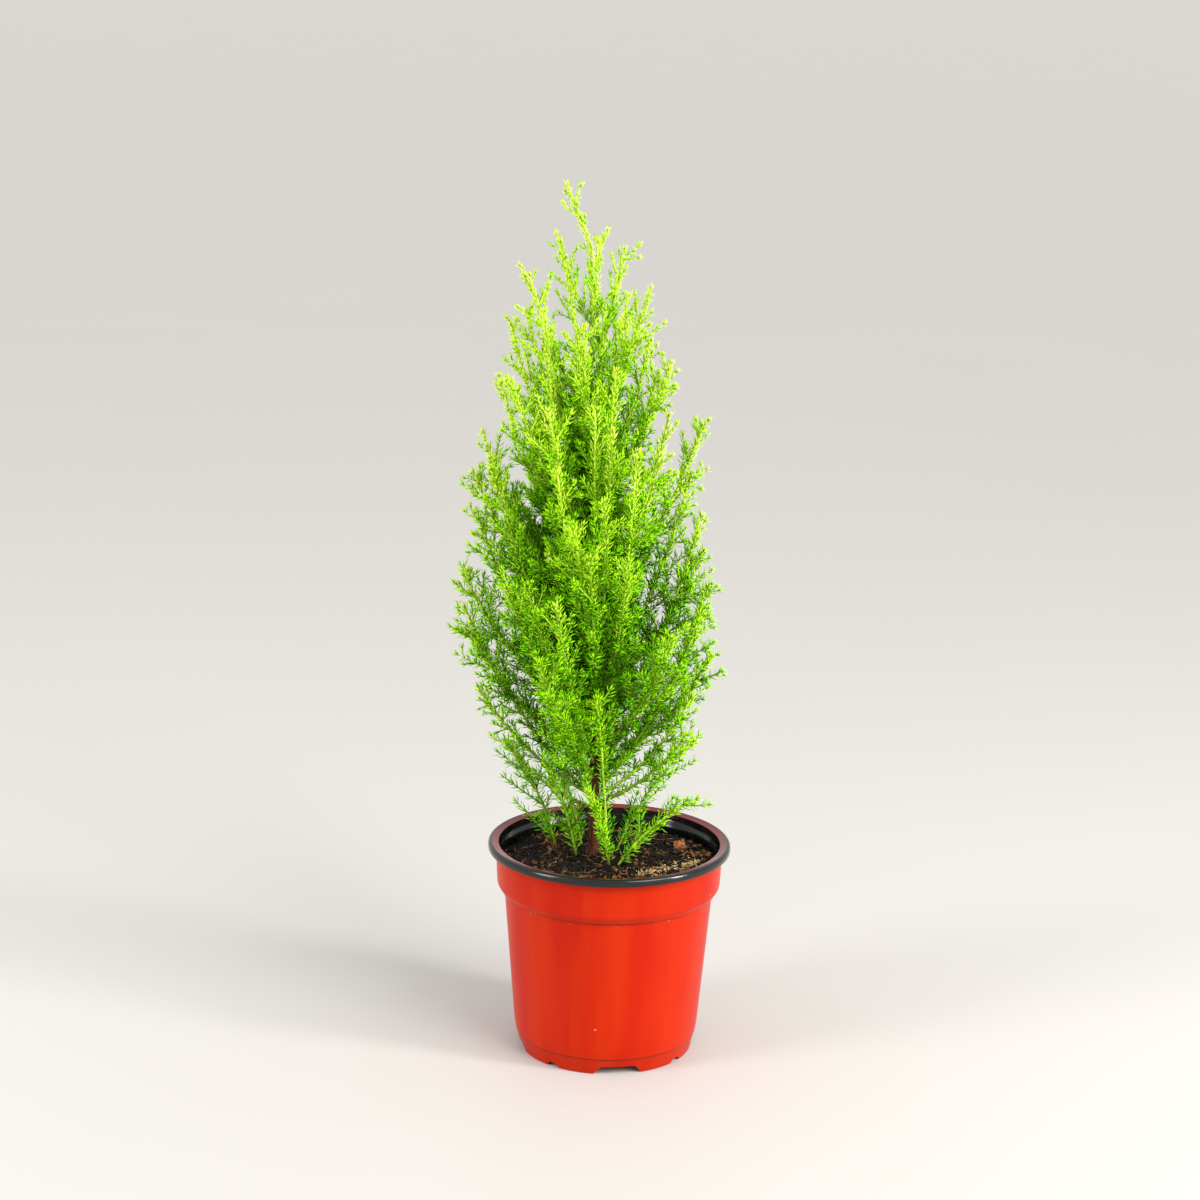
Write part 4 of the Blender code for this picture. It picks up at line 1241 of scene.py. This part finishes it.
class Foliage:
    # gathers the twigs as curves: foot, control, tip, radii, the mass that they belong to and their order
    def __init__(self, space):
        self.space = space
        self.twigs = []

    def add(self, name, foot, control, tip, footRadius, tipRadius, order):
        self.twigs.append((foot, control, tip, footRadius, tipRadius, name, order))

    def shoot(self, name, root, out, reach, radius, picks):
        # a shoot sags a little at first and lifts its tip, and bears twigs by turns
        tip = root + out * reach
        control = root + out * reach * 0.5 - up * reach * finer["sag"] * (1 - abs(out.z))
        control += Vector([picks.uniform(-0.03, 0.03) * reach for _ in range(3)])
        self.add(name, root, control, tip, radius, radius * 0.5, 1)
        share = 0 if name in sparse else byHeight(twigs["share"], root.z)
        turn = picks.uniform(0, math.tau)
        distance = reach * twigs["from"]
        while distance < reach * 0.93:
            t = distance / reach
            foot = root * (1 - t) ** 2 + control * 2 * t * (1 - t) + tip * t**2
            heading = ((control - root) * (1 - t) + (tip - control) * t).normalized()
            turn += golden + picks.uniform(-0.4, 0.4)
            length = share * (reach - distance) + twigs["least"]
            length = min(length * picks.uniform(0.7, 1.15), twigs["longest"])
            distance += byHeight(twigs["spacing"], root.z) * picks.uniform(0.75, 1.25)
            if length < byHeight(twigs["shortest"], root.z):
                continue
            for shorter in (1.0, 0.7):
                aim = (roundTheStem(heading, turn, twigs["angle"]) + up * 0.12).normalized()
                end = foot + aim * length * shorter
                if self.space.letsPass(name, foot + aim * 0.0008, end, 0.0003, finer["trespass"] * 1.5):
                    bend = (foot + end) / 2 - (aim - heading * aim.dot(heading)) * 0.06 * length
                    self.add(name, foot, bend, end, twigs["radius"], twigs["radius"] * 0.7, 2)
                    break
                turn += 0.8

    def growMass(self, name, stem):
        points = stem["points"]
        length = sum((after - before).length for before, after in zip(points, points[1:]))
        longest = shoots["longest"] * min(length / shoots["fullStem"], 1.0)
        details = random.Random("%d finer %s" % (crown["seed"], name))
        foot, control, tip, radius = stem["limb"]
        radius *= finer["lowThickness" if name.startswith("mass_low") else "thickness"]
        heading = (tip - control).normalized()
        end = tip + heading * shoots["stemTip"] * 0.5
        if name == "mass_leader":
            end += heading * finer["leaderTip"]
        self.add(name, foot, control, end, radius, finer["tipRadius"], 0)
        if name in self.space.names:
            self.growShoots(name, points, length, longest, details)
        self.growFiner(name, limbRings(stem["limb"])[0], longest, details)

    def growShoots(self, name, points, length, longest, details):
        # the same shoots as the solid's, at the same places
        picks = random.Random("%d %s" % (crown["seed"], name))
        count = min(max(int(length / shoots["spacing"]), shoots["fewest"]), shoots["most"])
        turn = picks.uniform(0, math.tau)
        for k in range(count):
            share = (k + shoots["first"]) / count
            root, heading = pointAlong(points, share * length)
            turn += golden + picks.uniform(-shoots["turnSpread"], shoots["turnSpread"])
            reach = shootReach(share, longest)
            reach *= picks.uniform(1 - shoots["lengthSpread"], 1 + shoots["lengthSpread"])
            for shorter in shoots["tries"]:
                out = (roundTheStem(heading, turn, shoots["spreadAngle"]) + up * shoots["rise"]).normalized()
                first = root + out * 2 * shoots["radius"]
                if self.space.holds(name, first, root + out * reach * shorter, shoots["radius"]):
                    self.shoot(name, root, out, reach * shorter, finer["shootRadius"], details)
                    break
                turn += shoots["tryTurn"]

    def growFiner(self, name, points, longest, details):
        # finer shoots fill the room between them, down to the stem's foot
        low = name in sparse
        length = sum((after - before).length for before, after in zip(points, points[1:]))
        turn = details.uniform(0, math.tau)
        distance = 0.005
        while distance < length * 0.985:
            share = distance / length
            root, heading = pointAlong(points, distance)
            turn += golden + details.uniform(-0.5, 0.5)
            reach = shootReach(share, longest) * details.uniform(*finer["lowShare" if low else "shootShare"])
            reach *= byHeight(finer["shootLength"], root.z)
            reach = min(reach, (1 - share) * length * 0.9 + 0.005)
            if not low:
                lift = (root.z - finer["noneBelow"]) / (finer["shortBelow"] - finer["noneBelow"])
                reach *= min(max(lift, 0), 1)
            spacing = finer["lowSpacing"] if low else byHeight(finer["shootSpacing"], root.z)
            distance += spacing * details.uniform(0.7, 1.3)
            if reach < finer["leastReach"]:
                continue
            for shorter in (1.0, 0.75, 0.5):
                spread = byHeight(finer["spreadAngle"], root.z) * details.uniform(0.8, 1.15)
                out = (roundTheStem(heading, turn, spread) + up * shoots["rise"]).normalized()
                end = root + out * reach * shorter
                if self.space.letsPass(name, root + out * 0.0016, end, 0.0004, finer["trespass"]):
                    self.shoot(name, root, out, reach * shorter, finer["shootRadius"] * 0.85, details)
                    break
                turn += shoots["tryTurn"]

    def growCollar(self):
        # needles and short shoots on the young green wood of the trunk's upper end
        details = random.Random(crown["seed"] + 2)
        count = int((collar["to"] - collar["from"]) / collar["spacing"])
        turn = 0.0
        for k in range(count):
            height = collar["from"] + (collar["to"] - collar["from"]) * k / count
            root = trunkPoint(height)
            after = trunkPoint(height + collar["spacing"])
            radius = trunkRadius(height)
            self.add("trunk", root, (root + after) / 2, after, radius, trunkRadius(after.z), 0)
            turn += golden + details.uniform(-0.4, 0.4)
            heading = (after - root).normalized()
            reach = collar["longest"] + (collar["shortest"] - collar["longest"]) * k / count
            reach *= details.uniform(0.8, 1.15)
            for aside in (0, 1, 2, 3):
                out = roundTheStem(heading, turn + aside, shoots["spreadAngle"] * 0.8)
                if self.space.letsPass("trunk", root + out * 0.0016, root + out * reach, 0.0003, 0):
                    self.shoot("trunk", root, out, reach, finer["shootRadius"] * 0.85, details)
                    break


def needleTemplate():
    # a blade of six faces that keeps its width up to the shoulder and arches a little
    shoulder = needles["shoulder"]
    shape = bmesh.new()
    for place in ((-0.8, 1, 0), (0.8, 1, 0), (-1, -1, shoulder), (1, -1, shoulder), (0, 0.6, 1)):
        shape.verts.new(place)
    bmesh.ops.convex_hull(shape, input=shape.verts)
    bmesh.ops.recalc_face_normals(shape, faces=shape.faces[:])
    return template(shape)


def needlesOn(twig, dice):
    # the roots, directions, sides and lengths of the needles of one twig, as arrays
    foot, control, tip, footRadius, tipRadius, _, order = twig
    foot, control, tip = (np.array(spot) for spot in (foot, control, tip))
    length = np.linalg.norm(tip - foot)
    height = (foot[2] + tip[2]) / 2
    first = needles["bareFoot"] if order == 0 else 0.0008 / length
    count = max(int(length * (1 - first) / needles["spacing"][order]), 1)
    t = np.repeat(first + (1 - first) * (np.arange(count) + 0.5) / count, needles["around"])
    t = np.clip(t + dice.uniform(-0.3, 0.3, len(t)) / count, 0, 1)
    turns = np.arange(len(t)) * (math.tau / needles["around"] + 0.35) + dice.uniform(0, math.tau)
    turns += dice.uniform(-0.3, 0.3, len(t))
    angles = byHeight(needles["angle"], height) * (1 - 0.3 * t**4)
    angles = np.radians(angles + needles["angleSpread"] * dice.standard_normal(len(t)))
    sizes = byHeight(needles["length"], height) * dice.uniform(0.8, 1.15, len(t))
    if order == 2:
        sizes *= 0.9
    # a tuft closes the tip
    t = np.append(t, np.full(needles["tuft"], 1.0))
    turns = np.append(turns, np.arange(needles["tuft"]) * math.tau / needles["tuft"])
    angles = np.append(angles, np.radians(needles["tuftAngle"] * dice.uniform(0.3, 1.4, needles["tuft"])))
    sizes = np.append(sizes, needles["tuftLength"] * dice.uniform(0.75, 1.0, needles["tuft"]))
    t = t[:, None]
    roots = foot * (1 - t) ** 2 + control * 2 * t * (1 - t) + tip * t**2
    heading = unit((control - foot) * (1 - t) + (tip - control) * t)
    aside = np.cross(heading, [1.0, 0, 0] if abs(heading[0, 2]) > 0.8 else [0, 0, 1.0])
    side = unit(aside)
    other = np.cross(heading, side)
    out = side * np.cos(turns)[:, None] + other * np.sin(turns)[:, None]
    roots = roots + out * 0.8 * (footRadius + (tipRadius - footRadius) * t)
    aim = heading * np.cos(angles)[:, None] + out * np.sin(angles)[:, None]
    aim[:, 2] += needles["lift"]
    across = np.cross(aim, out)
    return roots, unit(aim), unit(across), sizes, t[:, 0]


def toneOf(roots, shares, order, dice):
    # how light a needle is: lightest on the main stems, on the tips and high up, and darker with depth inside the
    # crown, which is painted shade
    middle = np.array([trunkPoint(z)[:2] for z in roots[:, 2]])
    reach = np.array([crownRadius(z) for z in roots[:, 2]]) + 0.006
    depth = reach - np.linalg.norm(roots[:, :2] - middle, axis=1)
    out = 1 - np.clip(depth / 0.045, 0, 1)
    rise = np.clip((roots[:, 2] - soil["level"]) / (crown["top"] - soil["level"]), 0, 1)
    young = (0.17 + 0.15 * rise, 0.02 + 0.05 * shares, 0.0)[order]
    return 0.36 * out + 0.34 * rise + young + dice.uniform(-0.06, 0.06) + dice.uniform(-0.06, 0.06, len(roots))


# needle colours from deep to lime: the darker ones carry the painted shade of the crown's inside as well as the
# greener tone of the older needles
tones = {
    "needlesDeep": {"below": 0.28, "colour": (0.105, 0.385, 0.002)},
    "needlesShade": {"below": 0.42, "colour": (0.200, 0.560, 0.003)},
    "needlesMiddle": {"below": 0.56, "colour": (0.330, 0.720, 0.004)},
    "needlesBright": {"below": 0.72, "colour": (0.470, 0.780, 0.018)},
    "needlesLime": {"below": 9.0, "colour": (0.610, 0.850, 0.060)},
}


def needleLook(name, colour):
    shades = Shades(name, {"Specular IOR Level": 0.06})
    drift = shades.grain(180, detail=2)
    darker = tuple(0.78 * part for part in colour)
    lighter = tuple(min(1.22 * part, 1.0) for part in colour)
    shades.feed(colour=shades.blend(drift, darker, lighter), roughness=0.5 + 0.16 * drift)
    return shades


def twigLook(name, dark, light):
    shades = Shades(name, {"Specular IOR Level": 0.3})
    drift = shades.grain(420, detail=3)
    shades.feed(colour=shades.blend(drift, dark, light), roughness=0.5 + 0.2 * drift)
    shades.bump(drift, 0.0001, 0.5)
    return shades


def insideBox(places):
    # leaves out the copies that would reach past the solids' box
    low = np.array(cadBox[0]) + 0.0001
    high = np.array(cadBox[1]) - 0.0001
    return ((places > low) & (places < high)).all(axis=(1, 2))


def massOf(foliage, twig):
    # the mass that a twig belongs to, which for an inner one is the nearest
    space = foliage.space
    if twig[5] in space.names:
        return space.names.index(twig[5])
    away = space.limbs.distances([twig[2]])[0]
    return int(space.limbs.owners[space.stemmed][away[space.stemmed].argmin()])


def makeTwigs(foliage):
    kinds = {
        "stemsBrown": (twigLook("stemBrown", (0.10, 0.060, 0.010), (0.20, 0.13, 0.02)), lambda t: t < 0.22),
        "stemsGreen": (twigLook("stemGreen", (0.16, 0.30, 0.012), (0.28, 0.46, 0.02)), lambda t: 0.22 <= t < 0.46),
        "stemsYellow": (twigLook("stemYellow", (0.40, 0.62, 0.03), (0.56, 0.78, 0.06)), lambda t: t >= 0.46),
    }
    dice = np.random.default_rng(5)
    light = []
    # the stems take their colour from the same tone as the needles, whose depth part is painted shade
    for foot, control, tip, _, _, _, order in foliage.twigs:
        middle = np.array([((foot + tip) / 2)[:]])
        light.append(toneOf(middle, np.array([0.5]), order, dice)[0])
    for name, (look, chosen) in kinds.items():
        parts = []
        for order, sides, rings in ((0, 6, 12), (1, 4, 4), (2, 3, 2)):
            rows = [twig for twig, tone in zip(foliage.twigs, light) if twig[6] == order and chosen(tone)]
            if not rows:
                continue
            model = bentTemplate(sides, rings)
            feet, controls, tips = (np.array([row[k][:] for row in rows]) for k in range(3))
            radii = [np.array([row[k] for row in rows]) for k in (3, 4)]
            placed = bentPlaces(model, feet, controls, tips, *radii)
            placed = placed[insideBox(placed)]
            parts.append(stamped("%s%d" % (name, order), model, placed, look))
        owners = {massOf(foliage, twig) for twig, tone in zip(foliage.twigs, light) if chosen(tone)}
        dress(joined(parts, name), [foliage.space.names[n] for n in sorted(owners)])


def joined(parts, name):
    # one object from several that share a material
    shape = bmesh.new()
    for part in parts:
        shape.from_mesh(part.data)
    shades = parts[0].data.materials[0]
    for part in parts:
        bpy.data.objects.remove(part)
    mesh = bpy.data.meshes.new(name)
    shape.to_mesh(mesh)
    shape.free()
    mesh.shade_smooth()
    mesh.materials.append(shades)
    piece = bpy.data.objects.new(name, mesh)
    bpy.context.scene.collection.objects.link(piece)
    return piece


def makeNeedles(foliage):
    model = needleTemplate()
    dice = np.random.default_rng(17)
    gathered = []
    for twig in foliage.twigs:
        roots, aim, across, sizes, shares = needlesOn(twig, dice)
        tone = toneOf(roots, shares, twig[6], dice)
        gathered.append((roots, aim, across, sizes, tone, np.full(len(sizes), massOf(foliage, twig))))
    roots, aim, across, sizes, tone, owners = (np.concatenate(column) for column in zip(*gathered))
    keel = np.cross(aim, across)
    local = model["places"]
    width = needles["width"] / 2 * (0.7 + 0.3 * sizes / needles["length"][0])
    placed = roots[:, None] + aim[:, None] * (sizes[:, None] * local[:, 2])[:, :, None]
    placed += across[:, None] * (width[:, None] * local[:, 0])[:, :, None]
    placed += keel[:, None] * (needles["thickness"] / 2 * local[:, 1])[None, :, None]
    keep = insideBox(placed)
    print("needles: %d, of which %d are kept" % (len(keep), keep.sum()))
    placed, tone, owners = placed[keep], tone[keep], owners[keep]
    above = -9.0
    most = 190000 // len(model["sizes"])
    for name, kind in tones.items():
        chosen = np.flatnonzero((tone >= above) & (tone < kind["below"]))
        above = kind["below"]
        look = needleLook(name, kind["colour"])
        parts = np.array_split(chosen, max(math.ceil(len(chosen) / most), 1))
        for k, part in enumerate(parts):
            piece = stamped("%s%d" % (name, k + 1), model, placed[part], look, smooth=False)
            dress(piece, [foliage.space.names[n] for n in np.unique(owners[part])])
            print("%s%d: %d needles" % (name, k + 1, len(part)))


trunkHeights = [soil["level"] + gap + (trunk["top"] - soil["level"] - gap) * (k / 15) ** 1.35 for k in range(16)]
trunkRings = ([trunkPoint(z) for z in trunkHeights], [trunkRadius(z) for z in trunkHeights])
foliage = Foliage(Space(stems, boughs, trunkRings))
for name, stem in stems.items():
    foliage.growMass(name, stem)
foliage.growCollar()
print("twigs on the masses: %d" % len(foliage.twigs))
for name, limb in inner.items():
    foliage.growMass(name, {"points": limbRings(limb)[0], "limb": limb})
lengths = [(twig[2] - twig[0]).length for twig in foliage.twigs]
print("twigs: %d, %.1f m in all" % (len(lengths), sum(lengths)))
makeTwigs(foliage)
makeNeedles(foliage)
print("foliage: done")


# Studio: the photograph's camera, a pale floor and soft light with its key from the right

camera = {
    "focalPixels": 2620,
    "framePixels": 1200,
    "shiftPixels": -14.7,
    "away": 1.339,
    "height": 0.567,
    "lookDown": 13.42,
    "roll": 1.27,
}


def makeCamera():
    lens = bpy.data.cameras.new("camera")
    lens.sensor_width = 36
    lens.lens = 36 * camera["focalPixels"] / camera["framePixels"]
    lens.shift_x = camera["shiftPixels"] / camera["framePixels"]
    lens.clip_start = 0.05
    lens.clip_end = 500
    seen = bpy.data.objects.new("camera", lens)
    seen.matrix_world = (
        Matrix.Translation((0, -camera["away"], camera["height"]))
        @ Matrix.Rotation(math.radians(90 - camera["lookDown"]), 4, "X")
        @ Matrix.Rotation(math.radians(camera["roll"]), 4, "Z")
    )
    bpy.context.scene.collection.objects.link(seen)
    bpy.context.scene.camera = seen


def makeFloor():
    shades = Shades("paleFloor", {"Roughness": 0.6, "Specular IOR Level": 0.3})
    wear = shades.grain(3, detail=4)
    shades.feed(colour=shades.blend(wear, (0.485, 0.475, 0.46), (0.50, 0.49, 0.475)))
    shape = bmesh.new()
    bmesh.ops.create_circle(shape, cap_ends=True, segments=64, radius=260)
    floor = pieceFrom(shape, "floor", shades, smooth=False)


def makeLight(name, place, aim, size, power, colour):
    lamp = bpy.data.lights.new(name, "AREA")
    lamp.shape = "RECTANGLE"
    lamp.size, lamp.size_y = size
    lamp.energy = power
    lamp.color = colour
    light = bpy.data.objects.new(name, lamp)
    heading = Vector(aim) - Vector(place)
    light.matrix_world = Matrix.Translation(place) @ heading.to_track_quat("-Z", "Y").to_matrix().to_4x4()
    bpy.context.scene.collection.objects.link(light)


def makeSun(place, strength, softness, colour):
    lamp = bpy.data.lights.new("key", "SUN")
    lamp.energy = strength
    lamp.angle = math.radians(softness)
    lamp.color = colour
    light = bpy.data.objects.new("key", lamp)
    light.matrix_world = (-Vector(place)).to_track_quat("-Z", "Y").to_matrix().to_4x4()
    bpy.context.scene.collection.objects.link(light)


def makeStudio():
    middle = (0, 0, 0.22)
    makeSun((0.74, -0.78, 0.80), 2.2, 34, (1.0, 0.975, 0.93))
    makeLight("softbox", (1.20, -0.50, 0.55), (0, 0, 0.16), (0.22, 0.9), 20, (1.0, 0.975, 0.94))
    makeLight("fill", (-1.35, -0.75, 0.65), middle, (0.5, 1.2), 20, (1.0, 0.99, 0.97))
    world = bpy.data.worlds.new("studio")
    world.use_nodes = True
    sky = world.node_tree.nodes["Background"]
    sky.inputs["Color"].default_value = (1.0, 0.99, 0.97, 1.0)
    sky.inputs["Strength"].default_value = 0.92
    bpy.context.scene.world = world
    bpy.context.scene.view_settings.view_transform = "Standard"


makeCamera()
makeFloor()
makeStudio()
print("studio: done")
